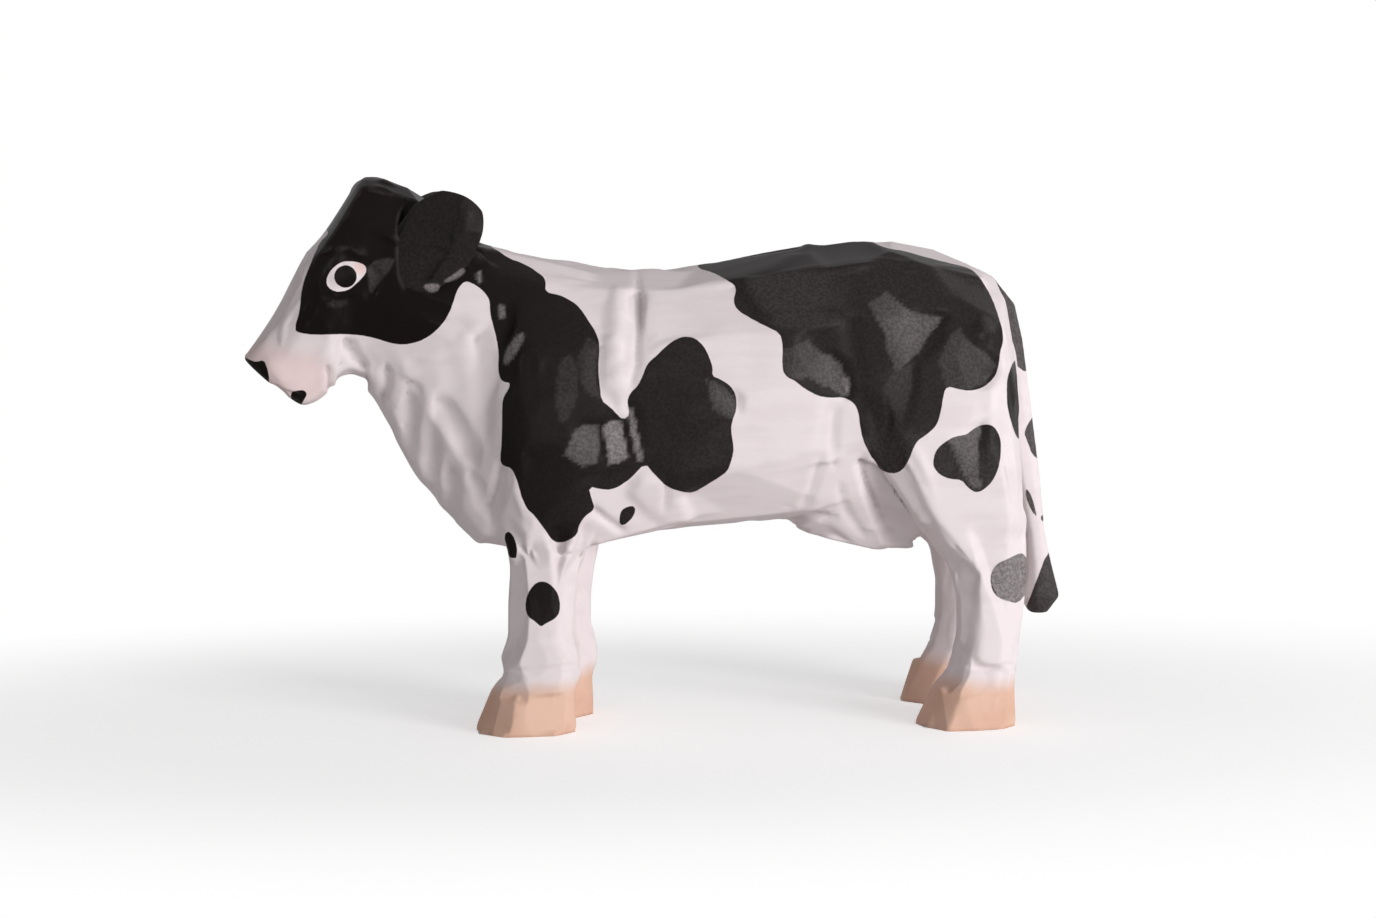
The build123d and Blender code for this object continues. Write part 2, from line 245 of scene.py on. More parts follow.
@dataclass(frozen=True)
class PhotoView:
    """The photograph's camera: it is built as one, and it says where on the picture a point shows."""

    width_px: int = 1376
    height_px: int = 918
    turn_deg: float = 8.0
    elevation_deg: float = 5.6
    distance: float = 470.0 * MM
    focal_px: float = 3092.0
    target: Place = (4.5 * MM, 0.0, 39.75 * MM)
    sensor: float = 36.0
    clip: Span = (0.01, 20.0)

    def axes(self) -> tuple[Array, Array, Array]:
        """Works out how the camera is turned.

        Returns:
            Its back, right and up directions.
        """
        turn, rise = math.radians(self.turn_deg), math.radians(self.elevation_deg)
        level = math.cos(rise)
        back = np.array([-math.sin(turn) * level, -math.cos(turn) * level, math.sin(rise)])
        right = np.array([math.cos(turn), -math.sin(turn), 0.0])
        return back, right, np.cross(back, right)

    def pixels_per_mm(self) -> float:
        """The picture's scale at the middle of the figure."""
        return self.focal_px / (self.distance / MM)

    def outline(self, path: Path, roundings: int) -> Outline:
        """Turns an outline in pixels into one in millimetres of the picture."""
        scale = self.pixels_per_mm()
        return Outline(tuple((x / scale, y / scale) for x, y in path), roundings)

    def project(self, points: Array) -> Array:
        """Finds where points show in the picture.

        Args:
            points: Points of the figure, in metres.

        Returns:
            Their pixels, from the top left.
        """
        back, right, up = self.axes()
        away = points - (np.asarray(self.target) + back * self.distance)
        scale = self.focal_px / -(away @ back)
        x = self.width_px / 2 + (away @ right) * scale
        y = self.height_px / 2 - (away @ up) * scale
        return np.stack([x, y], axis=1)

    def build(self) -> None:
        """Makes the camera and hands it to the scene."""
        data = bpy.data.cameras.new("photo_camera")
        data.sensor_width = self.sensor
        data.lens = self.focal_px / self.width_px * self.sensor
        data.clip_start, data.clip_end = self.clip
        camera = set_out("photo_camera", data)
        back = Vector(self.axes()[0])
        camera.location = Vector(self.target) + back * self.distance
        camera.rotation_euler = (-back).to_track_quat("-Z", "Y").to_euler()
        bpy.context.scene.camera = camera


PHOTO = PhotoView()


@dataclass(frozen=True)
class Surface:
    """A skin's points and normals, as arrays."""

    points: Array
    normals: Array

    @classmethod
    def of(cls, mesh: bpy.types.Mesh) -> "Surface":
        """Reads a mesh.

        Args:
            mesh: The mesh to read.

        Returns:
            Its points and normals.
        """
        points = np.empty(len(mesh.vertices) * 3)
        normals = np.empty(len(mesh.vertices) * 3)
        mesh.vertices.foreach_get("co", points)
        mesh.vertex_normals.foreach_get("vector", normals)
        return cls(points.reshape(-1, 3), normals.reshape(-1, 3))

    def mirrored(self, stride: float = 0.0) -> "Surface":
        """The same surface, seen in a mirror along the spine and moved forward by a leg's stride."""
        flip = np.array([1.0, -1.0, 1.0])
        return Surface(self.points * flip - np.array([stride, 0.0, 0.0]), self.normals * flip)

    def facing(self) -> Array:
        """How far each point faces the photograph's camera, from -1 to 1."""
        back, _, _ = PHOTO.axes()
        return self.normals @ back

    def sides(self, stride: float = 0.0) -> Iterator[tuple["Surface", Side, Array]]:
        """Turns first the left and then the right side to the picture.

        Args:
            stride: How far the right side's leg stands behind the left one's, in metres.

        Yields:
            The surface so turned, the side, and which of the points are that side's own.
        """
        for side in Side:
            seen = self if side is Side.LEFT else self.mirrored(stride)
            yield seen, side, self.points[:, 1] * side.value > 0.0


def set_out(name: str, data: bpy.types.ID) -> bpy.types.Object:
    """Puts a new object in the scene.

    Args:
        name: The object's name.
        data: Its mesh, lamp or camera.

    Returns:
        The object.
    """
    made = bpy.data.objects.new(name, data)
    bpy.context.scene.collection.objects.link(made)
    return made


@contextmanager
def on_bench(mesh: bpy.types.Mesh) -> Iterator[bmesh.types.BMesh]:
    """Opens a mesh for bmesh operators, and writes it back when they are done.

    Args:
        mesh: The mesh.

    Yields:
        The open mesh.
    """
    work = bmesh.new()
    work.from_mesh(mesh)
    yield work
    work.to_mesh(mesh)
    work.free()
    mesh.update()


def set_points(mesh: bpy.types.Mesh, points: Array) -> None:
    """Moves a mesh's points.

    Args:
        mesh: The mesh to change.
        points: The new places, in metres.
    """
    mesh.vertices.foreach_set("co", points.ravel())
    mesh.update()


def set_layer(mesh: bpy.types.Mesh, layer: Layer, values: Array) -> None:
    """Writes a painted layer on a mesh.

    Args:
        mesh: The mesh to paint.
        layer: The layer.
        values: One value a point.
    """
    attribute = mesh.attributes.get(layer.value) or mesh.attributes.new(layer.value, "FLOAT", "POINT")
    attribute.data.foreach_set("value", values.astype(np.float32))


def get_layer(mesh: bpy.types.Mesh, layer: Layer) -> Array:
    """Reads a painted layer of a mesh.

    Args:
        mesh: The mesh.
        layer: The layer.

    Returns:
        One value a point, all 0 where the mesh lacks the layer.
    """
    values = np.zeros(len(mesh.vertices), dtype=np.float32)
    attribute = mesh.attributes.get(layer.value)
    if attribute:
        attribute.data.foreach_get("value", values)
    return values


def rough_blank(name: str, nodes: Iterable[str], voxel: float) -> bpy.types.Mesh:
    """Runs one even skin of small squares over some of the frame's blocks.

    Args:
        name: The new mesh's name.
        nodes: The blocks.
        voxel: The size of the squares, in metres.

    Returns:
        The skin.
    """
    joined = bpy.data.meshes.new(f"{name}_blocks")
    with on_bench(joined) as blocks:
        for node in nodes:
            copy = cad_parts[node].data.copy()
            with on_bench(copy) as single:
                bmesh.ops.remove_doubles(single, verts=single.verts, dist=WELD)
            blocks.from_mesh(copy)
            bpy.data.meshes.remove(copy)
    blank = set_out(f"{name}_blocks", joined)
    remesh = blank.modifiers.new("even_skin", "REMESH")
    remesh.mode = "VOXEL"
    remesh.voxel_size = voxel
    skin = bpy.data.meshes.new_from_object(blank.evaluated_get(bpy.context.evaluated_depsgraph_get()))
    bpy.data.objects.remove(blank)
    bpy.data.meshes.remove(joined)
    skin.name = name
    return skin


def evenly(passes: int) -> Callable[[Array], Array]:
    """Gives the same number of sanding passes everywhere."""
    return lambda points: np.full(len(points), passes)


def sand(mesh: bpy.types.Mesh, passes: Callable[[Array], Array]) -> None:
    """Sands a skin, more in some places than in others.

    Args:
        mesh: The skin.
        passes: Gives the number of passes at each of the points, which are in millimetres.
    """
    counts = passes(Surface.of(mesh).points / MM)
    with on_bench(mesh) as skin:
        skin.verts.ensure_lookup_table()
        for step in range(int(counts.max())):
            chosen = [skin.verts[i] for i in np.nonzero(counts > step)[0]]
            bmesh.ops.smooth_vert(
                skin, verts=chosen, factor=SANDING, use_axis_x=True, use_axis_y=True, use_axis_z=True
            )


def crease_depth(mesh: bpy.types.Mesh) -> Array:
    """Measures how far each point lies below its surroundings, or above them where it is negative.

    Args:
        mesh: A skin of small squares or triangles.

    Returns:
        The depth in each point, in millimetres.
    """
    surface = Surface.of(mesh)
    edges = np.empty(len(mesh.edges) * 2, dtype=np.int64)
    mesh.edges.foreach_get("vertices", edges)
    pairs = edges.reshape(-1, 2)
    own, other = np.concatenate([pairs, pairs[:, ::-1]]).T
    count = np.maximum(np.bincount(own, minlength=len(surface.points)), 1)

    def around(values: Array) -> Array:
        """The mean of the values on the edges round each point."""
        return np.bincount(own, values, minlength=len(count)) / count

    way = surface.points[other] - surface.points[own]
    spread = around((way**2).sum(axis=1))
    depth = around(np.einsum("ij,ij->i", way, surface.normals[own]))
    depth *= CREASE_REACH**2 / np.maximum(spread, TINY)
    for _ in range(CREASE_ROUNDS):
        depth = 0.5 * depth + 0.5 * around(depth[other])
    return depth / MM


@dataclass(frozen=True)
class KnifeFacets:
    """Flat knife cuts that cover a smooth blank like a mosaic. Sizes are in millimetres."""

    seed: int = 11
    tries: int = 9000
    rounds: int = 3
    rivals: int = 5
    barrel_facet: float = 8.0
    neck_facet: float = 6.0
    head_facet: float = 5.0
    leg_facet: float = 5.0
    leg_line: float = 25.0
    # Below 1, the facets are longer along the cow than across.
    lengthways: float = 0.72
    # How much more a cut costs where the skin turns away from it.
    turn_weight: float = 1.6
    stray_deg: float = 2.5
    # How strongly a point keeps to its nearest cut, and how wide the ridge between two cuts is.
    pull: float = 0.05
    border: float = 0.1
    deepest: float = 0.8
    # The strongest and weakest painted highlight on a facet's black paint.
    brightest: float = 0.14
    dimmest: float = 0.055
    # The higher, the fewer facets get a strong painted highlight.
    rarity: int = 3
    # Along the cow, the facets' painted highlight fades out towards the neck and head over this span.
    neck_sheen_fade: Span = (-34.0, 2.0)
    neck_back: float = -16.0
    head_back: float = -33.0
    head_bottom: float = 46.0
    leg_strength: float = 0.1
    body_strength: float = 0.85
    throat_ease: float = 0.65
    head_ease: float = 0.4
    body_rise: Span = (20.0, 29.0)
    throat_back: Span = (-26.0, -22.0)
    throat_top: Span = (56.0, 62.0)
    head_line: Span = (-42.0, -38.0)
    head_rise: Span = (48.0, 52.0)
    chunk: int = 20_000

    def facet_size(self, points: Array) -> Array:
        """Chooses how large the facets are.

        Args:
            points: The skin's points, in millimetres.

        Returns:
            The facets' usual size at each.
        """
        x, z = points[:, 0], points[:, 2]
        size = np.full(len(points), self.barrel_facet)
        size[x < self.neck_back] = self.neck_facet
        size[(x < self.head_back) & (z > self.head_bottom)] = self.head_facet
        size[z < self.leg_line] = self.leg_facet
        return size

    def strength(self, points: Array) -> Array:
        """Chooses how fully the cuts flatten the blank: less on the legs, the throat and the head.

        Args:
            points: The skin's points, in millimetres.

        Returns:
            The share of each cut's depth that is taken.
        """
        x, z = points[:, 0], points[:, 2]
        body = smooth_step(z, *self.body_rise)
        throat = smooth_fall(x, *self.throat_back) * smooth_fall(z, *self.throat_top)
        head = smooth_fall(x, *self.head_line) * smooth_step(z, *self.head_rise)
        eased = (1.0 - self.throat_ease * throat) * (1.0 - self.head_ease * head)
        return self.leg_strength + self.body_strength * body * eased

    def starts(self, places: Array, size: Array, chance: np.random.Generator) -> Array:
        """Picks where the cuts are made.

        Args:
            places: The skin's points, stretched along the grain.
            size: The facets' size at each.
            chance: The carver's chance.

        Returns:
            The picked points' numbers, none closer together than the facets' size.
        """
        order = chance.permutation(len(places))[: self.tries]
        kept: list[int] = []
        for i in order:
            if not kept or np.min(np.sum((places[kept] - places[i]) ** 2, axis=1)) > size[i] ** 2:
                kept.append(int(i))
        return np.array(kept)

    def rank(
        self, places: Array, normals: Array, seats: Array, turns: Array, size: Array
    ) -> tuple[Array, Array]:
        """Finds the cuts nearest to each point, the nearest first.

        Args:
            places: The skin's points, stretched along the grain.
            normals: The skin's normals.
            seats: The cuts' middles, stretched alike.
            turns: The cuts' normals.
            size: The cuts' sizes.

        Returns:
            The cuts' numbers, and how far off each is, counted in cuts.
        """
        found, costs = [], []
        for chunk in np.array_split(np.arange(len(places)), max(1, len(places) // self.chunk)):
            way = (places[chunk] ** 2).sum(1)[:, None] + (seats**2).sum(1) - 2.0 * places[chunk] @ seats.T
            turn = 2.0 - 2.0 * normals[chunk] @ turns.T
            cost = np.sqrt(np.maximum(way / size**2 + self.turn_weight * turn, 0.0))
            few = np.argpartition(cost, self.rivals, axis=1)[:, : self.rivals]
            near = np.take_along_axis(cost, few, axis=1)
            order = np.argsort(near, axis=1)
            found.append(np.take_along_axis(few, order, axis=1))
            costs.append(np.take_along_axis(near, order, axis=1))
        return np.concatenate(found), np.concatenate(costs)

    def carve(self, mesh: bpy.types.Mesh) -> None:
        """Cuts the facets into a skin, and gives each one's black paint a painted highlight of its own
        strength.

        Args:
            mesh: The skin.
        """
        chance = np.random.default_rng(self.seed)
        surface = Surface.of(mesh)
        points, normals = surface.points / MM, surface.normals
        grain = np.array([self.lengthways, 1.0, 1.0])
        sizes = self.facet_size(points)
        picked = self.starts(points * grain, sizes, chance)
        seats, turns, size = points[picked], normals[picked], sizes[picked]
        for _ in range(self.rounds):
            found, _ = self.rank(points * grain, normals, seats * grain, turns, size)
            own = found[:, 0]
            count = np.maximum(np.bincount(own, minlength=len(seats)), 1)[:, None]
            seats = sum_by(own, points, len(seats)) / count
            turns = sum_by(own, normals, len(seats))
            turns /= np.maximum(np.linalg.norm(turns, axis=1), TINY)[:, None]
        found, cost = self.rank(points * grain, normals, seats * grain, turns, size)
        turns = turns + chance.normal(0.0, math.radians(self.stray_deg), turns.shape)
        turns /= np.linalg.norm(turns, axis=1)[:, None]
        gap = np.einsum("ijk,ijk->ij", seats[found] - points[:, None, :], turns[found])
        score = np.abs(gap) + self.pull * (cost - cost[:, :1]) * size[found]
        weight = np.exp(-(score - score.min(axis=1, keepdims=True)) / self.border)
        weight /= weight.sum(axis=1, keepdims=True)
        move = np.clip((weight * gap).sum(axis=1), -self.deepest, self.deepest) * self.strength(points)
        # Each facet's black paint gets a painted highlight of random strength, fading out towards the neck and
        # head.
        facet_sheen = self.dimmest + (self.brightest - self.dimmest) * chance.random(len(seats)) ** self.rarity
        shaded = smooth_step(points[:, 0], *self.neck_sheen_fade)
        set_layer(mesh, Layer.SHEEN, shaded * (weight * facet_sheen[found]).sum(axis=1))
        set_points(mesh, (points + normals * move[:, None]) * MM)
        log.info("%d knife facets", len(seats))


class Facing(Enum):
    """The ways that single cuts face, on the left side of the cow."""

    LIGHT = (0.28, -0.94, 0.2)
    FRONT = (-0.85, -0.5, -0.1)
    DOWN = (-0.1, -0.75, -0.65)
    NOSE = (-0.82, -0.35, 0.45)
    SHANK_FRONT = (-0.75, -0.66, 0.0)
    SHANK_SIDE = (-0.16, -0.98, 0.05)
    SHANK_BACK = (0.4, -0.9, 0.1)
    PASTERN = (-0.5, -0.82, -0.2)
    HOOF_FRONT = (-0.88, -0.45, 0.1)
    HOOF_TOE = (-0.6, -0.75, 0.2)
    HOOF_SIDE = (0.22, -0.95, 0.15)


@dataclass(frozen=True)
class FlatCut:
    """One broad knife cut with an outline read from the picture, on both sides of the cow, which can also paint
    a highlight on black paint.

    The outline, the brightest place and the glow are in pixels, the other sizes in millimetres.
    """

    outline: Path
    faces: Facing = Facing.LIGHT
    sheen: float = 0.0
    most_deg: float = 13.0
    edge: float = 1.0
    deepest: float = 0.9
    inset: float = 0.1
    brightest: Pixel | None = None
    margin: float = 1.0
    # A cut fades out over these ways of facing, and its plane is set where the skin faces more than the last.
    fade: Span = (-0.3, 0.2)
    square_on: float = 0.05
    glow_px: float = 50.0
    least_glow: float = 0.35
    glow_edge: Span = (-0.1, 0.2)

    def glow(self, pixels: Array) -> Array:
        """Works out how the cut's painted highlight dims away from its brightest place.

        Args:
            pixels: Places in the picture.

        Returns:
            The brightness at each, from 0 to 1.
        """
        if self.brightest is None:
            return np.ones(len(pixels))
        away = np.linalg.norm(pixels - np.asarray(self.brightest), axis=1)
        return self.least_glow + (1.0 - self.least_glow) * np.exp(-((away / self.glow_px) ** 2))

    def carve(self, mesh: bpy.types.Mesh, stride: float) -> None:
        """Takes away what stands above the cut's plane, which is turned its way, and paints the cut's
        highlight.

        Args:
            mesh: The skin.
            stride: How far the right side's leg stands behind the left one's.
        """
        surface = Surface.of(mesh)
        outline = PHOTO.outline(self.outline, roundings=0)
        points = surface.points.copy()
        sheen = get_layer(mesh, Layer.SHEEN)
        for seen, side, own in surface.sides(stride * MM):
            facing = seen.facing()
            near = np.nonzero(own & (facing > self.fade[0]))[0]
            pixels = PHOTO.project(seen.points[near])
            depth = outline.depth(pixels / PHOTO.pixels_per_mm(), self.edge + self.margin)
            inside = near[(depth > 0.0) & (facing[near] > self.square_on)]
            if not len(inside):
                continue
            turn = self.turn(seen.normals[inside].mean(axis=0))
            seat = seen.points[inside].mean(axis=0) - turn * self.inset * MM
            above = np.clip((seen.points[near] - seat) @ turn, 0.0, self.deepest * MM)
            above *= smooth_step(depth, -self.edge, 0.0) * smooth_step(facing[near], *self.fade)
            points[near] -= above[:, None] * turn * np.array([1.0, -side.value, 1.0])
            # A painted highlight on the cut, on the side that faces the camera.
            bright = smooth_step(depth, *self.glow_edge) * self.sheen * self.glow(pixels)
            sheen[near] = np.maximum(sheen[near], bright * (facing[near] > 0.0))
        set_layer(mesh, Layer.SHEEN, sheen)
        set_points(mesh, points)

    def turn(self, usual: Array) -> Array:
        """Turns a direction the cut's way, but not too far.

        Args:
            usual: The way that the uncut skin faces.

        Returns:
            The way that the cut faces.
        """
        usual = usual / np.linalg.norm(usual)
        wanted = np.asarray(self.faces.value) / np.linalg.norm(self.faces.value)
        angle = math.acos(min(1.0, float(usual @ wanted)))
        part = min(1.0, math.radians(self.most_deg) / max(angle, TINY))
        turned = usual * math.sin((1.0 - part) * angle) + wanted * math.sin(part * angle)
        return turned / np.linalg.norm(turned)


@dataclass(frozen=True)
class GougeCut:
    """A cut along a line of the picture, in pixels, on both sides of the cow. Sizes are in millimetres."""

    path: Path
    width: float
    depth: float
    crisp: bool = False
    all_round: bool = False
    least_facing: float = -0.1
    turn_gain: float = 5.0
    turn_middle: float = 0.5
    taper_gain: float = 5.0
    least_taper: float = 0.02

    def carve(self, mesh: bpy.types.Mesh) -> None:
        """Sinks the cut into a skin, or raises a ridge where its depth is negative.

        Args:
            mesh: The skin.
        """
        surface = Surface.of(mesh)
        move = np.zeros(len(surface.points))
        corners, scale = np.asarray(self.path), PHOTO.pixels_per_mm()
        margin = self.width * scale
        for seen, _, own in surface.sides():
            facing = seen.facing()
            shown = np.nonzero(own & (self.all_round | (facing > self.least_facing)))[0]
            pixels = PHOTO.project(seen.points[shown])
            close = np.all((pixels > corners.min(0) - margin) & (pixels < corners.max(0) + margin), axis=1)
            shown = shown[close]
            gap, along = way_along(pixels[close], self.path)
            ends = np.minimum(along, 1.0 - along) * self.taper_gain
            taper = np.sqrt(np.clip(ends, self.least_taper, 1.0))
            reach = np.clip(gap / scale / (self.width / 2 * taper), 0.0, 1.0)
            bowl = 1.0 - reach**2 if self.crisp else 0.5 + 0.5 * np.cos(math.pi * reach)
            turned = np.clip(facing[shown] * self.turn_gain + self.turn_middle, 0.0, 1.0)
            move[shown] -= self.depth * bowl * taper * (1.0 if self.all_round else turned)
        set_points(mesh, surface.points + surface.normals * move[:, None] * MM)


@dataclass(frozen=True)
class Gouging:
    """The single cuts, folds, creases and swells that the picture shows."""

    fore_stride: float = 4.2
    hind_stride: float = 1.8
    # Flat cuts that carry a painted highlight on the black paint.
    highlight_flats: tuple[FlatCut, ...] = (
        FlatCut(
            ((563, 455), (575, 430), (585, 424), (600, 424), (601, 445), (598, 463), (583, 467)),
            sheen=0.4, brightest=(580, 446),
        ),
        FlatCut(
            ((602, 427), (612, 420), (622, 420), (629, 457), (620, 463), (609, 465), (606, 445)),
            sheen=0.85,
        ),
        FlatCut(((627, 406), (634, 410), (644, 461), (637, 462), (630, 430)), sheen=0.75),
        FlatCut(
            ((706, 378), (717, 382), (729, 390), (739, 398), (739, 410), (733, 420), (722, 416), (712, 408)),
            sheen=0.26,
        ),
        FlatCut(
            ((588, 335), (600, 345), (599, 380), (602, 400), (590, 395), (579, 380), (578, 355)),
            sheen=0.12,
        ),
        FlatCut(
            (
                (867, 303), (887, 290), (898, 301), (911, 311), (926, 313), (945, 316), (940, 325), (930, 336),
                (921, 352), (905, 365), (897, 373), (887, 352), (885, 335), (875, 318),
            ),
            sheen=0.42, brightest=(918, 325),
        ),
        FlatCut(
            ((880, 392), (893, 372), (915, 362), (912, 395), (902, 424), (885, 428)),
            sheen=0.14, brightest=(905, 370),
        ),
        FlatCut(
            (
                (780, 350), (795, 345), (808, 339), (820, 352), (833, 355), (845, 365), (851, 392), (845, 398),
                (832, 388), (820, 385), (808, 378), (795, 381), (781, 376),
            ),
            sheen=0.36, brightest=(840, 380),
        ),
        FlatCut(
            (
                (938, 362), (950, 335), (960, 327), (968, 341), (990, 354), (1000, 366), (988, 384), (965, 391),
                (945, 386),
            ),
            sheen=0.18,
        ),
        FlatCut(
            (
                (946, 437), (960, 433), (972, 428), (984, 424), (980, 445), (978, 470), (983, 487), (973, 490),
                (962, 472), (954, 455),
            ),
            sheen=0.42,
        ),
    )
    body_flats: tuple[FlatCut, ...] = (
        FlatCut(
            ((486, 506), (495, 487), (500, 466), (512, 466), (517, 490), (514, 512), (507, 530), (498, 532)),
            Facing.FRONT, most_deg=32.0, deepest=1.4,
        ),
        FlatCut(
            ((860, 464), (878, 472), (905, 512), (922, 540), (905, 541), (886, 540), (870, 500)),
            Facing.FRONT, most_deg=24.0, deepest=1.2,
        ),
        FlatCut(
            ((740, 472), (840, 478), (800, 514), (700, 522), (690, 500)),
            Facing.DOWN, most_deg=5.0, edge=2.0,
        ),
        FlatCut(
            (
                (306, 245), (298, 280), (282, 310), (262, 338), (247, 352), (238, 346), (258, 318), (281, 283),
                (295, 252),
            ),
            Facing.NOSE, most_deg=20.0, edge=0.4,
        ),
    )
    fore_leg_flats: tuple[FlatCut, ...] = (
        FlatCut(
            (
                (505, 575), (519, 562), (523, 585), (524, 610), (518, 635), (510, 655), (502, 660), (500, 640),
                (503, 600),
            ),
            Facing.SHANK_FRONT, most_deg=30.0, edge=2.0,
        ),
        FlatCut(
            (
                (523, 548), (558, 530), (559, 585), (561, 600), (556, 622), (549, 632), (541, 655), (536, 672),
                (512, 662), (509, 655), (516, 640), (525, 612),
            ),
            Facing.SHANK_SIDE, most_deg=20.0, edge=2.0,
        ),
        FlatCut(
            (
                (560, 530), (585, 532), (580, 580), (577, 610), (579, 640), (581, 668), (545, 678), (538, 672),
                (545, 655), (551, 634), (558, 622), (562, 600),
            ),
            Facing.SHANK_BACK, most_deg=24.0, edge=2.0,
        ),
        FlatCut(
            ((513, 664), (535, 670), (525, 700), (512, 699), (500, 697), (510, 680)),
            Facing.PASTERN, most_deg=15.0,
        ),
        FlatCut(
            ((503, 668), (510, 682), (500, 698), (494, 712), (489, 730), (477, 726), (484, 700), (496, 680)),
            Facing.HOOF_FRONT, most_deg=12.0,
        ),
        FlatCut(
            ((500, 698), (516, 699), (513, 715), (509, 732), (489, 729), (494, 712)),
            Facing.HOOF_TOE, most_deg=12.0,
        ),
        FlatCut(
            ((527, 700), (573, 697), (576, 722), (574, 728), (520, 733)),
            Facing.HOOF_SIDE, most_deg=16.0,
        ),
    )
    hind_leg_flats: tuple[FlatCut, ...] = (
        # Only a painted highlight on the hock's black spot; it cuts nothing.
        FlatCut(
            ((995, 560), (1018, 548), (1040, 556), (1040, 590), (1022, 602), (1003, 604), (994, 585)),
            sheen=0.95, deepest=0.0,
        ),
        FlatCut(
            (
                (950, 556), (958, 567), (971, 577), (969, 600), (964, 640), (960, 650), (953, 643), (956, 600),
                (954, 575),
            ),
            Facing.SHANK_FRONT, most_deg=30.0, edge=2.0,
        ),
        FlatCut(
            ((976, 540), (1022, 540), (1021, 590), (1016, 640), (1015, 672), (985, 667), (976, 658)),
            Facing.SHANK_BACK, most_deg=16.0, edge=3.0, inset=0.35,
        ),
        FlatCut(
            ((934, 642), (958, 646), (966, 660), (956, 680), (948, 687), (934, 676)),
            Facing.PASTERN, most_deg=15.0,
        ),
        FlatCut(
            ((968, 660), (985, 668), (1015, 675), (1013, 690), (960, 695), (950, 688), (960, 676)),
            Facing.HOOF_SIDE, most_deg=16.0,
        ),
        FlatCut(
            ((908, 715), (934, 676), (948, 688), (947, 732), (925, 734), (908, 728)),
            Facing.HOOF_FRONT, most_deg=12.0,
        ),
        FlatCut(
            ((961, 692), (1012, 692), (1015, 727), (955, 726)),
            Facing.HOOF_SIDE, most_deg=16.0,
        ),
    )
    neck_folds: tuple[GougeCut, ...] = (
        GougeCut(((408, 390), (411, 420), (408, 450)), 3.0, 0.25, crisp=True),
        GougeCut(((425, 415), (432, 445), (431, 475), (434, 508)), 3.0, 0.3, crisp=True),
        GougeCut(((446, 460), (452, 487), (452, 526)), 2.7, 0.3, crisp=True),
        GougeCut(((434, 396), (450, 418), (466, 442), (476, 468)), 4.4, 0.45, crisp=True),
        GougeCut(((468, 470), (479, 490), (483, 514)), 2.6, 0.4, crisp=True),
        GougeCut(((408, 358), (420, 372), (430, 392)), 5.0, 0.14),
        GougeCut(((444, 345), (452, 368), (458, 396)), 5.0, 0.12),
        GougeCut(((470, 330), (480, 380), (488, 440)), 5.0, 0.14),
    )
    jaw_cuts: tuple[GougeCut, ...] = (
        GougeCut(((386, 362), (386, 384), (380, 404)), 3.0, 0.35),
        GougeCut(((344, 337), (355, 355), (366, 373)), 3.4, 0.55),
        GougeCut(((327, 364), (330, 378), (331, 395)), 2.2, 0.5, all_round=True),
        GougeCut(((336, 388), (352, 382), (370, 388)), 5.0, 1.0, all_round=True),
    )
    trunk_cuts: tuple[GougeCut, ...] = (
        GougeCut(((617, 285), (617, 330), (617, 372), (622, 410)), 5.2, -0.55),
        GougeCut(((637, 268), (638, 320), (637, 365), (631, 395)), 2.0, 0.4),
        GougeCut(((590, 505), (606, 520), (626, 534)), 2.0, 0.7),
        GougeCut(((663, 470), (667, 495), (664, 515)), 1.8, 0.35),
        GougeCut(((836, 405), (833, 440), (836, 472)), 2.4, 0.3),
        GougeCut(((858, 458), (868, 486), (884, 520), (896, 544)), 2.2, 0.5),
        GougeCut(((822, 455), (812, 490), (800, 512)), 2.6, 0.35),
        GougeCut(((838, 480), (846, 512), (866, 538)), 2.4, 0.35),
        GougeCut(((810, 250), (850, 241), (890, 248)), 9.0, 0.6, all_round=True),
        GougeCut(((852, 270), (848, 310), (854, 360), (866, 420)), 5.0, 0.25),
        GougeCut(((922, 362), (932, 345), (945, 328)), 2.2, 0.5),
    )
    face_cuts: tuple[GougeCut, ...] = (
        GougeCut(((405, 205), (404, 250), (407, 292)), 2.6, 0.8),
        GougeCut(((366, 262), (378, 276), (366, 300)), 2.4, 0.4),
        GougeCut(((318, 254), (330, 249), (350, 248), (368, 257)), 2.2, -0.3),
        GougeCut(((322, 294), (336, 301), (356, 297)), 2.0, 0.25),
        GougeCut(((330, 280), (345, 277), (360, 271)), 5.0, -0.35),
        GougeCut(((300, 300), (284, 324), (281, 346)), 1.8, -0.2),
        GougeCut(((270, 384), (284, 392), (300, 397)), 1.2, 0.4),
    )
    pastern_lines: tuple[GougeCut, ...] = (
        GougeCut(((504, 668), (530, 672), (560, 668), (588, 664)), 1.8, 0.3),
        GougeCut(((962, 664), (985, 670), (1015, 664)), 1.8, 0.3),
    )

    def carve(self, mesh: bpy.types.Mesh) -> None:
        """Makes every cut in a skin.

        Args:
            mesh: The skin.
        """
        flats = {
            self.highlight_flats + self.body_flats: 0.0,
            self.fore_leg_flats: self.fore_stride,
            self.hind_leg_flats: self.hind_stride,
        }
        for group, stride in flats.items():
            for flat in group:
                flat.carve(mesh, stride)
        lines = (*self.neck_folds, *self.jaw_cuts, *self.trunk_cuts, *self.face_cuts, *self.pastern_lines)
        for line in lines:
            line.carve(mesh)
        log.info("%d flat cuts and %d gouge cuts a side", sum(map(len, flats)), len(lines))


@dataclass(frozen=True)
class EdgeSpot:
    """A spot that goes round the cow's outline in the picture, within a ball. Its outline is in pixels."""

    outline: Path
    middle: Place
    reach: float


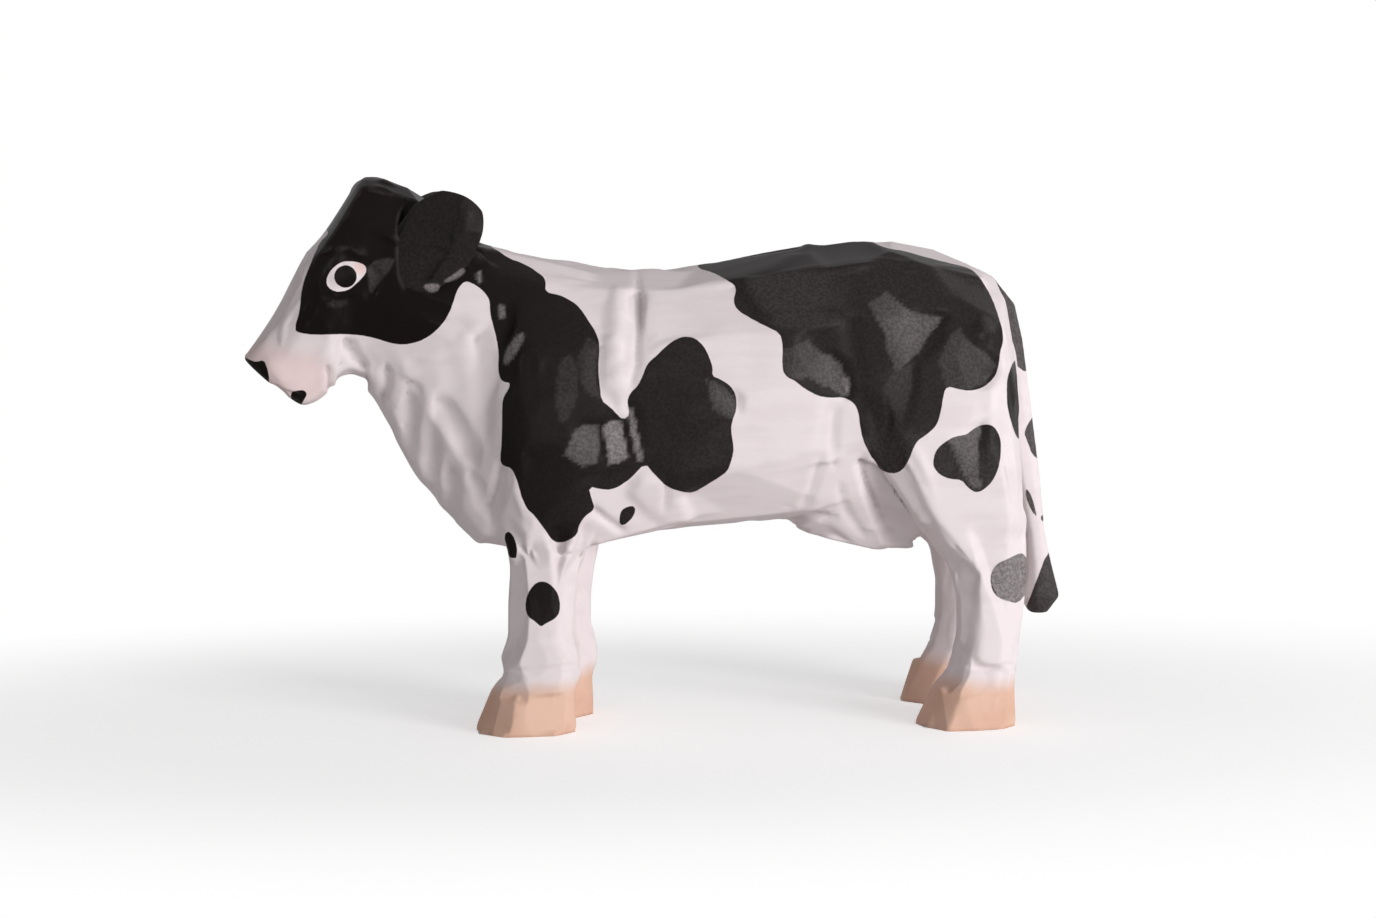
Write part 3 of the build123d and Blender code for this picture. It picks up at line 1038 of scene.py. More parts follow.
@dataclass(frozen=True)
class Coat:
    """Where the black paint, the blush and the painted highlights on the black lie.

    The left side follows the picture, with outlines in pixels. The right side has a layout of its own, which
    is in millimetres along the cow and up, as the poll is. The other sizes are in millimetres too.
    """

    margin: float = 3.0
    # Where the skin turns out of the picture, a patch ends that far past the edge.
    turn_reach: float = 6.0
    turn_start: float = 0.2
    far_turn_start: float = 0.4
    spine_blend: float = 1.2
    nostril_gap: float = 1.3
    muzzle_blush: float = 0.5
    muzzle_fade: Span = (-2.2, 1.6)
    corner_blush: float = 0.8
    corner_fade: Span = (0.4, 1.4)
    eye_rim: float = 0.3
    glint_edge: Span = (-0.15, 0.25)
    # The tail's black marks get an even painted highlight, weaker on the tuft.
    tuft_height: float = 26.0
    tuft_fade: float = 2.0
    tuft_sheen: float = 0.23
    mark_sheen: float = 0.36
    face: Path = (
        (335, 223), (328, 234), (320, 242), (314, 255), (309, 268), (304, 280), (301, 295), (300, 310),
        (294, 330), (300, 333), (315, 335), (340, 334), (360, 335), (375, 338), (390, 343), (403, 345),
        (418, 342), (430, 336), (442, 325), (450, 312), (454, 300), (458, 288), (465, 281),
    )
    nape: Path = ((482, 262), (495, 245), (492, 150), (335, 150))
    shoulder: Path = (
        (472, 283), (480, 288), (487, 295), (490, 303), (490, 312), (493, 325), (497, 340), (499, 355),
        (498, 370), (500, 378), (503, 382), (511, 383), (508, 390), (503, 398), (502, 410), (502, 440),
        (500, 460), (503, 466), (512, 468), (517, 480), (521, 495), (526, 508), (535, 516), (545, 530),
        (552, 540), (558, 543), (568, 541), (577, 535), (579, 525), (585, 516), (595, 509), (592, 500),
        (588, 486), (600, 489), (612, 490), (625, 483), (635, 474), (645, 463),
    )
    ribs: Path = (
        (655, 475), (667, 487), (682, 492), (693, 493), (705, 486), (718, 478), (727, 472), (732, 460),
        (734, 447), (731, 432), (732, 422), (737, 408), (736, 395), (730, 385), (720, 379), (712, 376),
        (713, 368), (709, 356), (703, 345), (695, 338), (686, 336), (676, 339), (665, 347), (655, 357),
        (647, 364), (643, 375), (638, 386), (630, 393), (627, 402),
    )
    withers: Path = (
        (629, 410), (628, 418), (622, 419), (618, 415), (610, 407), (601, 400), (600, 385), (598, 370),
        (600, 345), (596, 332), (588, 320), (580, 308), (572, 301), (560, 295), (545, 292), (546, 282),
        (543, 276), (530, 267), (520, 262), (510, 259), (500, 252), (490, 246), (483, 238), (483, 150),
        (335, 150),
    )
    rump: Path = (
        (697, 268), (712, 272), (725, 279), (735, 285), (736, 292), (733, 301), (737, 310), (750, 318),
        (765, 326), (780, 333), (783, 345), (782, 370), (787, 377), (795, 381), (805, 389), (818, 396),
        (830, 398), (842, 397), (853, 402), (858, 410), (860, 425), (863, 440), (870, 455), (876, 462),
        (880, 470), (892, 474), (902, 471), (909, 460), (914, 447), (918, 440), (928, 434), (937, 425),
        (941, 412), (943, 398), (946, 386), (958, 389), (970, 391), (983, 388), (995, 377), (999, 365),
        (1000, 352), (1003, 343), (1003, 332), (999, 318), (993, 300), (986, 287), (978, 275), (970, 268),
        (945, 262), (925, 257), (905, 251), (885, 248), (868, 240), (860, 200), (690, 200), (692, 255),
    )
    spots: tuple[Path, ...] = (
        ((633, 505), (636, 510), (633, 517), (627, 523), (622, 526), (619, 522), (620, 514), (622, 509)),
        (
            (541, 581), (549, 583), (556, 590), (560, 600), (560, 612), (555, 619), (545, 624), (541, 627),
            (536, 622), (528, 617), (525, 607), (527, 595), (533, 585),
        ),
        (
            (933, 462), (935, 452), (942, 444), (955, 436), (966, 435), (972, 430), (980, 425), (990, 424),
            (997, 430), (1001, 440), (1001, 455), (998, 470), (992, 482), (984, 490), (976, 493), (968, 488),
            (962, 480), (950, 479), (940, 475), (934, 468),
        ),
    )
    edge_spots: tuple[EdgeSpot, ...] = (
        EdgeSpot(
            ((495, 530), (506, 530), (513, 535), (517, 545), (517, 557), (513, 563), (495, 563)),
            (-24.0, -12.5, 27.7), 3.2,
        ),
        EdgeSpot(((500, 569), (513, 570), (514, 575), (510, 577), (500, 577)), (-23.9, -12.3, 23.8), 1.2),
        EdgeSpot(
            (
                (1013, 362), (1016, 360), (1030, 365), (1030, 435), (1016, 440), (1010, 430), (1005, 412),
                (1004, 395), (1008, 375),
            ),
            (52.0, -10.5, 49.5), 6.4,
        ),
        EdgeSpot(
            (
                (1017, 554), (1024, 553), (1040, 560), (1040, 582), (1026, 594), (1018, 603), (1010, 602),
                (998, 598), (992, 590), (990, 578), (993, 568), (1000, 562), (1008, 559),
            ),
            (50.8, -13.0, 22.3), 4.6,
        ),
    )
    nostril: Path = (
        (243, 356), (250, 360), (256, 362), (264, 360), (267, 367), (269, 376), (269, 384),
        (266, 392), (250, 380),
    )
    mouth_corner: Path = (
        (290, 392.5), (297, 390.5), (304, 390), (307, 394), (305, 398), (301, 406), (293, 406),
    )
    eye: Path = (
        (326, 281), (328, 287.5), (335, 291.5), (343, 291.5), (350, 289), (357, 283), (363, 277), (367, 271),
        (365, 265), (357, 262), (350, 261), (342, 262), (335, 266), (329, 273),
    )
    pupil_middle: Pixel = (345.5, 276.5)
    pupil_radius: float = 11.2
    eye_corner: Pixel = (360, 268)
    muzzle: Path = (
        (236, 340), (252, 340), (285, 352), (318, 356), (330, 375), (318, 402), (290, 402), (256, 384),
    )
    tail_marks: tuple[Path, ...] = (
        (
            (986, 281), (998, 276), (1016, 290), (1026, 315), (1034, 345), (1040, 371), (1018, 371),
            (1016, 352), (1010, 334), (1003, 315), (994, 298),
        ),
        (
            (1034, 415), (1038, 425), (1042, 450), (1042, 461), (1032, 455), (1027, 440), (1024, 433),
            (1027, 425),
        ),
        ((1026, 487), (1032, 497), (1036, 512), (1037, 518), (1031, 510), (1026, 497)),
        ((1041, 515), (1046, 515), (1046, 521), (1041, 521)),
        ((1047, 552), (1056, 552), (1075, 598), (1070, 640), (1010, 640), (1024, 612), (1035, 585)),
    )
    # Bright strokes of painted highlight on the black paint, on both sides.
    glints: tuple[tuple[float, Path], ...] = (
        (1.0, ((423, 285), (430, 283), (440, 284), (439, 290), (432, 293), (426, 291))),
        (0.85, ((443, 281), (452, 275), (463, 267), (466, 272), (457, 279), (447, 283))),
        (0.8, ((475, 276), (480, 268), (483, 280), (480, 285))),
        (0.6, ((497, 303), (505, 305), (506, 318), (499, 320))),
        (0.8, ((842, 375), (847, 374), (850, 394), (845, 396))),
        (0.6, ((505, 352), (512, 340), (521, 331), (526, 335), (519, 350), (509, 364), (503, 364))),
        (0.12, ((556, 362), (573, 352), (580, 375), (578, 400), (566, 425), (556, 420))),
        (0.14, ((367, 262), (396, 256), (392, 268), (378, 285), (370, 296), (368, 284))),
    )
    poll: Path = ((-50, 72), (-50, 86), (-27, 86), (-27, 71), (-36, 68), (-44, 68))
    right_side: tuple[Path, ...] = (
        (
            (6, 84), (33, 84), (35.5, 74), (41, 66), (43, 58), (39, 53), (33, 51), (30, 45), (25, 42), (20, 45),
            (17, 51), (11, 54), (8, 60), (9, 66), (5, 72),
        ),
        (
            (-24, 62), (-17, 64), (-11, 58), (-9, 50), (-13, 44), (-14, 36), (-19, 32), (-23, 36), (-24, 44),
            (-28, 50), (-28, 57),
        ),
        ((0, 52), (6, 55), (11, 50), (12, 43), (8, 37), (1, 36), (-3, 41), (-3, 48)),
        ((43, 44), (49, 46), (52, 40), (50, 34), (45, 33), (41, 38)),
        ((48, 60), (52, 58), (53, 51), (50, 48), (47, 53)),
        ((-17, 20), (-12, 21), (-10, 17), (-13, 14), (-17, 15.5)),
        ((47, 19), (52, 20), (53, 15), (49, 13), (46, 16)),
        ((14, 36), (17, 37), (18, 34), (15, 33)),
        ((-38, 52), (-34, 54), (-32, 48), (-35, 44), (-38, 47)),
    )

    def outline_depth(self, surface: Surface, outlines: Iterable[Path]) -> Array:
        """How deep points lie in outlines of the picture, whichever way they face.

        Args:
            surface: The points and normals.
            outlines: Outlines in pixels.

        Returns:
            The depth in millimetres, negative outside.
        """
        pixels = PHOTO.project(surface.points) / PHOTO.pixels_per_mm()
        depth = np.full(len(pixels), -self.margin)
        for path in outlines:
            depth = np.maximum(depth, PHOTO.outline(path, roundings=1).depth(pixels, self.margin))
        return depth

    def seen_depth(self, surface: Surface, outlines: Iterable[Path]) -> Array:
        """The same, on the side that the picture shows."""
        facing = (surface.facing() + self.turn_start) * self.turn_reach
        return np.minimum(self.outline_depth(surface, outlines), facing)

    def left_black(self, surface: Surface) -> Array:
        """Lays out the black patches of the left side.

        Args:
            surface: The side's points and normals.

        Returns:
            How deep each point lies in them, negative outside.
        """
        front = self.face + self.shoulder + self.ribs + self.withers
        depth = self.seen_depth(surface, (front, self.rump, *self.spots))
        for spot in self.edge_spots:
            away = np.linalg.norm(surface.points / MM - np.asarray(spot.middle), axis=1)
            patch = np.minimum(self.outline_depth(surface, (spot.outline,)), spot.reach - away)
            depth = np.maximum(depth, patch)
        return depth

    def right_black(self, surface: Surface) -> Array:
        """Lays out the black patches of the right side: the face as on the left, the rest in its own layout.

        Args:
            surface: The side's points and normals.

        Returns:
            How deep each point lies in them, negative outside.
        """
        depth = self.seen_depth(surface.mirrored(), (self.face + self.nape,))
        flat = surface.points[:, [0, 2]] / MM
        for path in self.right_side:
            depth = np.maximum(depth, Outline(path).depth(flat, self.margin))
        return np.minimum(depth, (surface.normals[:, 1] + self.far_turn_start) * self.turn_reach)

    def features(self, surface: Surface, black: Array) -> tuple[Array, Array]:
        """Adds the eye, the nostril and the corner of the mouth to one side of the face.

        Args:
            surface: The points and normals of the side, turned to the picture.
            black: The black paint so far.

        Returns:
            The black paint and the blush.
        """
        scale = PHOTO.pixels_per_mm()
        pixels = PHOTO.project(surface.points) / scale
        away = np.linalg.norm(pixels - np.asarray(self.pupil_middle) / scale, axis=1)
        eye = self.seen_depth(surface, (self.eye,))
        pupil = np.where(surface.facing() > 0.0, self.pupil_radius / scale - away, -self.margin)
        nostril = np.minimum(
            self.seen_depth(surface, (self.nostril,)), np.abs(surface.points[:, 1]) / MM - self.nostril_gap
        )
        black = np.maximum(np.maximum(black, nostril), self.seen_depth(surface, (self.mouth_corner,)))
        black = np.maximum(np.minimum(black, -eye), pupil)
        blush = self.muzzle_blush * smooth_step(self.seen_depth(surface, (self.muzzle,)), *self.muzzle_fade)
        gap = np.linalg.norm(pixels - np.asarray(self.eye_corner) / scale, axis=1)
        corner = self.corner_blush * smooth_fall(gap, *self.corner_fade) * (eye > -self.eye_rim)
        return black, np.maximum(blush, corner)

    def paint(self, mesh: bpy.types.Mesh) -> None:
        """Paints a carved block.

        Args:
            mesh: The block's skin.
        """
        surface = Surface.of(mesh)
        near = smooth_fall(surface.points[:, 1] / MM, -self.spine_blend, self.spine_blend)
        black, blush = np.zeros(len(near)), np.zeros(len(near))
        for share, side in ((near, Side.LEFT), (1.0 - near, Side.RIGHT)):
            chosen = np.nonzero(share > 0.0)[0]
            part = Surface(surface.points[chosen], surface.normals[chosen])
            seen = part if side is Side.LEFT else part.mirrored()
            patches = self.left_black(part) if side is Side.LEFT else self.right_black(part)
            patches = np.maximum(patches, Outline(self.poll).depth(part.points[:, [0, 2]] / MM, self.margin))
            marks, tint = self.features(seen, patches)
            black[chosen] += share[chosen] * marks
            blush[chosen] += share[chosen] * tint
        set_layer(mesh, Layer.BLACK, black)
        set_layer(mesh, Layer.BLUSH, blush)
        self.shine(mesh)

    def shine(self, mesh: bpy.types.Mesh) -> None:
        """Paints bright highlight strokes onto the black paint, alike on both sides.

        Args:
            mesh: The painted piece.
        """
        surface = Surface.of(mesh)
        sheen = get_layer(mesh, Layer.SHEEN)
        for strength, path in self.glints:
            for seen in (surface, surface.mirrored()):
                depth = self.seen_depth(seen, (path,))
                sheen = np.maximum(sheen, strength * smooth_step(depth, *self.glint_edge))
        set_layer(mesh, Layer.SHEEN, sheen)

    def paint_tail(self, mesh: bpy.types.Mesh) -> None:
        """Paints the tail, alike on both of its sides, with an even painted highlight on its black marks.

        Args:
            mesh: The tail's skin.
        """
        surface = Surface.of(mesh)
        left = self.seen_depth(surface, self.tail_marks)
        right = self.seen_depth(surface.mirrored(), self.tail_marks)
        set_layer(mesh, Layer.BLACK, np.where(surface.points[:, 1] < 0.0, left, right))
        tuft_top = self.tuft_height + self.tuft_fade
        tuft = smooth_fall(surface.points[:, 2] / MM, self.tuft_height, tuft_top)
        set_layer(mesh, Layer.SHEEN, self.mark_sheen + (self.tuft_sheen - self.mark_sheen) * tuft)

    def paint_black(self, mesh: bpy.types.Mesh) -> None:
        """Paints a piece black all over, with the painted highlight strokes."""
        set_layer(mesh, Layer.BLACK, np.full(len(mesh.vertices), self.margin))
        self.shine(mesh)


class NodeTree:
    """The nodes of a material or a world, added and linked one after the other."""

    def __init__(self, owner: bpy.types.Material | bpy.types.World) -> None:
        """Opens the nodes.

        Args:
            owner: The new material or world.
        """
        owner.use_nodes = True
        self.owner = owner
        self.tree = owner.node_tree
        self.shader = self.tree.nodes.get("Principled BSDF")

    def add(self, kind: str, settings: dict | None = None, **inputs: object) -> bpy.types.Node:
        """Adds a node.

        Args:
            kind: The node's type.
            settings: Its properties.
            **inputs: Its sockets, as for fill.

        Returns:
            The node.
        """
        node = self.tree.nodes.new(kind)
        for key, value in (settings or {}).items():
            setattr(node, key, value)
        self.fill(node, **inputs)
        return node

    def fill(self, node: bpy.types.Node, **inputs: object) -> None:
        """Sets a node's sockets, or links others to them.

        Args:
            node: The node.
            **inputs: Its sockets by name, with _ for a space, or as _ and a number: values, or sockets to link.
        """
        for key, value in inputs.items():
            socket = node.inputs[int(key[1:]) if key[1:].isdigit() else key.replace("_", " ")]
            if isinstance(value, bpy.types.NodeSocket):
                self.tree.links.new(value, socket)
            else:
                socket.default_value = value

    def math(self, operation: str, first: object, second: object = 0.0) -> bpy.types.NodeSocket:
        """Adds a sum and returns its result."""
        return self.add("ShaderNodeMath", {"operation": operation}, _0=first, _1=second).outputs[0]

    def ease(
        self, value: object, low: float, high: float, start: float = 0.0, end: float = 1.0
    ) -> bpy.types.NodeSocket:
        """Adds a smooth step between two values and returns its result."""
        node = self.add(
            "ShaderNodeMapRange",
            {"interpolation_type": "SMOOTHSTEP"},
            Value=value, From_Min=low, From_Max=high, To_Min=start, To_Max=end,
        )
        return node.outputs["Result"]

    def mix(self, share: object, first: object, second: object) -> bpy.types.NodeSocket:
        """Adds a mix of two colours and returns its result."""
        node = self.add("ShaderNodeMix", {"data_type": "RGBA"}, _0=share, _6=first, _7=second)
        return node.outputs[2]

    def noise(
        self, vector: object, scale: float, detail: float = 2.0, roughness: float = 0.5
    ) -> bpy.types.NodeSocket:
        """Adds a noise and returns its value."""
        sockets = {"Vector": vector, "Scale": scale, "Detail": detail, "Roughness": roughness}
        return self.add("ShaderNodeTexNoise", None, **sockets).outputs["Fac"]

    def swing(self, noise: object, size: float) -> bpy.types.NodeSocket:
        """Adds a noise's swing to both sides of its middle, and returns it."""
        return self.math("MULTIPLY", self.math("SUBTRACT", noise, 0.5), size)

    def bump(self, height: object, strength: float, distance: float) -> bpy.types.NodeSocket:
        """Adds a bump and returns its normal."""
        sockets = {"Strength": strength, "Distance": distance, "Height": height}
        return self.add("ShaderNodeBump", None, **sockets).outputs["Normal"]

    def layer(self, layer: Layer) -> bpy.types.NodeSocket:
        """Reads a painted layer."""
        return self.add("ShaderNodeAttribute", {"attribute_name": layer.value}).outputs["Fac"]

    def stretched(self, vector: object, scale: Place) -> bpy.types.NodeSocket:
        """Stretches a pattern's coordinates."""
        return self.add("ShaderNodeMapping", None, Vector=vector, Scale=scale).outputs["Vector"]

    def place(self) -> bpy.types.NodeSocket:
        """Reads the place on the object."""
        return self.add("ShaderNodeTexCoord").outputs["Object"]


@dataclass(frozen=True)
class CoatFinish:
    """Hand-brushed paint on carved wood: chalky white, satin black, tan hooves and a blushed muzzle, with
    painted shade in the creases and painted highlights on the black.
    """

    white: Colour = (0.79, 0.708, 0.722, 1.0)
    white_thin: Colour = (0.735, 0.652, 0.665, 1.0)
    # The colour of the painted shade in the creases.
    crease: Colour = (0.45, 0.39, 0.40, 1.0)
    black: Colour = (0.0085, 0.0058, 0.0055, 1.0)
    # The colour that a painted highlight gives the black paint.
    black_highlight: Colour = (0.30, 0.27, 0.27, 1.0)
    tan: Colour = (0.745, 0.50, 0.39, 1.0)
    tan_deep: Colour = (0.67, 0.415, 0.31, 1.0)
    pink: Colour = (0.78, 0.555, 0.525, 1.0)
    white_roughness: float = 0.65
    black_roughness: float = 0.42
    specular: float = 0.05
    hoof_edge: float = 5.2 * MM
    hoof_fade: float = 3.6 * MM
    hoof_scale: float = 240.0
    hoof_ragged: float = 2.4 * MM
    tan_scale: float = 160.0
    tan_edge: Span = (0.35, 0.75)
    edge_scale: float = 700.0
    edge_wobble: float = 0.14
    edge_softness: float = 0.06
    detail: float = 3.0
    streak_scale: Place = (90.0, 700.0, 420.0)
    streak_roughness: float = 0.6
    streak_share: float = 0.55
    cloud_scale: float = 110.0
    thin_edge: Span = (0.42, 0.68)
    crease_shade_edge: Span = (0.012, 0.07)
    crease_shade_share: float = 0.6
    speckle_scale: float = 2200.0
    speckle_roughness: float = 0.65
    speckle_edge: Span = (0.36, 0.66)
    speckle_least: float = 0.55
    # Ridges lighten the black paint: partly edge wear, partly a painted highlight.
    wear_and_sheen_edge: Span = (-0.02, -0.07)
    wear_and_sheen_strength: float = 0.06
    rough_swing: float = 0.18
    streak_relief: float = 0.35
    speckle_relief: float = 0.45
    black_relief: float = 0.5
    bump_strength: float = 0.55
    bump_height: float = 0.05 * MM

    def build(self) -> bpy.types.Material:
        """Makes the paint.

        Returns:
            The material.
        """
        nodes = NodeTree(bpy.data.materials.new("coat_paint"))
        place = nodes.place()
        wobble = nodes.swing(nodes.noise(place, self.edge_scale), self.edge_wobble)
        edge = nodes.math("ADD", nodes.layer(Layer.BLACK), wobble)
        black_share = nodes.ease(edge, -self.edge_softness, self.edge_softness)
        brushed = nodes.stretched(place, self.streak_scale)
        streaks = nodes.noise(brushed, 1.0, self.detail, self.streak_roughness)
        clouds = nodes.noise(place, self.cloud_scale, self.detail)
        streaked = nodes.math("MULTIPLY", streaks, self.streak_share)
        clouded = nodes.math("MULTIPLY", clouds, 1.0 - self.streak_share)
        thin = nodes.ease(nodes.math("ADD", streaked, clouded), *self.thin_edge)
        white = nodes.mix(thin, self.white, self.white_thin)
        # Painted shade in the creases, deeper where the crease is deeper.
        crease_shade = nodes.ease(nodes.layer(Layer.CREASE), *self.crease_shade_edge, 0.0, self.crease_shade_share)
        white = nodes.mix(crease_shade, white, self.crease)
        white = nodes.mix(nodes.layer(Layer.BLUSH), white, self.pink)
        height = nodes.add("ShaderNodeSeparateXYZ", None, Vector=place).outputs["Z"]
        ragged = nodes.swing(nodes.noise(place, self.hoof_scale, self.detail), self.hoof_ragged)
        height = nodes.math("SUBTRACT", height, ragged)
        hoof = nodes.ease(height, self.hoof_edge + self.hoof_fade, self.hoof_edge)
        deep = nodes.ease(nodes.noise(place, self.tan_scale, self.detail), *self.tan_edge)
        pale = nodes.mix(hoof, white, nodes.mix(deep, self.tan, self.tan_deep))
        speckle = nodes.noise(place, self.speckle_scale, self.detail, self.speckle_roughness)
        grain = nodes.ease(speckle, *self.speckle_edge, self.speckle_least, 1.0)
        # Ridges lighten the black: edge wear and painted highlight.
        wear_and_sheen = nodes.ease(nodes.layer(Layer.CREASE), *self.wear_and_sheen_edge)
        wear_and_sheen = nodes.math("MULTIPLY", wear_and_sheen, self.wear_and_sheen_strength)
        bright = nodes.math("MAXIMUM", nodes.layer(Layer.SHEEN), wear_and_sheen)
        # The black paint lightened by painted highlight, with a grainy speckle.
        black = nodes.mix(nodes.math("MULTIPLY", bright, grain), self.black, self.black_highlight)
        rough = nodes.ease(black_share, 0.0, 1.0, self.white_roughness, self.black_roughness)
        rough = nodes.math("ADD", rough, nodes.swing(speckle, self.rough_swing))
        relief = nodes.math("MULTIPLY", streaks, self.streak_relief)
        rubbed = nodes.math("MULTIPLY", speckle, black_share)
        for part, share in ((rubbed, self.speckle_relief), (black_share, self.black_relief)):
            relief = nodes.math("ADD", relief, nodes.math("MULTIPLY", part, share))
        nodes.fill(
            nodes.shader,
            Base_Color=nodes.mix(black_share, pale, black),
            Roughness=rough,
            Specular_IOR_Level=self.specular,
            Normal=nodes.bump(relief, self.bump_strength, self.bump_height),
        )
        return nodes.owner


@dataclass(frozen=True)
class BareWoodFinish:
    """Unpainted pale wood, as the dowels and pegs are."""

    light: Colour = (0.66, 0.47, 0.28, 1.0)
    dark: Colour = (0.50, 0.32, 0.17, 1.0)
    roughness: float = 0.6
    grain_scale: Place = (900.0, 900.0, 60.0)
    grain_detail: float = 4.0
    grain_roughness: float = 0.6
    grain_edge: Span = (0.35, 0.7)
    bump_strength: float = 0.3
    bump_height: float = 0.03 * MM

    def build(self) -> bpy.types.Material:
        """Makes the wood.

        Returns:
            The material.
        """
        nodes = NodeTree(bpy.data.materials.new("bare_wood"))
        along = nodes.stretched(nodes.place(), self.grain_scale)
        grain = nodes.noise(along, 1.0, self.grain_detail, self.grain_roughness)
        nodes.fill(
            nodes.shader,
            Base_Color=nodes.mix(nodes.ease(grain, *self.grain_edge), self.light, self.dark),
            Roughness=self.roughness,
            Normal=nodes.bump(grain, self.bump_strength, self.bump_height),
        )
        return nodes.owner


@dataclass(frozen=True)
class FloorFinish:
    """A pale matt floor that turns plain white away from the figure."""

    pale: Colour = (0.86, 0.855, 0.855, 1.0)
    roughness: float = 0.9
    lift: float = 0.4
    pool: Place = (0.6, 1.0, 1.0)
    shade_reach: float = 0.045
    white_reach: float = 0.12

    def build(self) -> bpy.types.Material:
        """Makes the floor's surface.

        Returns:
            The material.
        """
        nodes = NodeTree(bpy.data.materials.new("pale_floor"))
        nodes.fill(nodes.shader, Base_Color=self.pale, Roughness=self.roughness)
        place = nodes.stretched(nodes.place(), self.pool)
        away = nodes.add("ShaderNodeVectorMath", {"operation": "LENGTH"}, _0=place).outputs["Value"]
        seen = nodes.add("ShaderNodeLightPath").outputs["Is Camera Ray"]
        far = nodes.math("MULTIPLY", nodes.ease(away, self.shade_reach, self.white_reach), seen)
        lift = nodes.math("MULTIPLY", seen, self.lift)
        glow, white = (nodes.add("ShaderNodeEmission", None, Strength=strength) for strength in (lift, 1.0))
        lit = nodes.shader.outputs["BSDF"]
        shaded = nodes.add("ShaderNodeAddShader", None, _0=lit, _1=glow.outputs["Emission"])
        mixed = nodes.add(
            "ShaderNodeMixShader", None, _0=far, _1=shaded.outputs["Shader"], _2=white.outputs["Emission"]
        )
        nodes.fill(nodes.tree.nodes["Material Output"], Surface=mixed.outputs["Shader"])
        return nodes.owner


def show(name: str, mesh: bpy.types.Mesh, node: str, material: bpy.types.Material) -> None:
    """Puts a finished piece in the place of its block.

    Args:
        name: The piece's name.
        mesh: Its mesh.
        node: The block that it stands for.
        material: Its finish.
    """
    piece = set_out(name, mesh)
    mesh.materials.clear()
    mesh.materials.append(material)
    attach(piece, BODY)
    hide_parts(node)
    log.info("%s: %d points, %d faces", name, len(mesh.vertices), len(mesh.polygons))


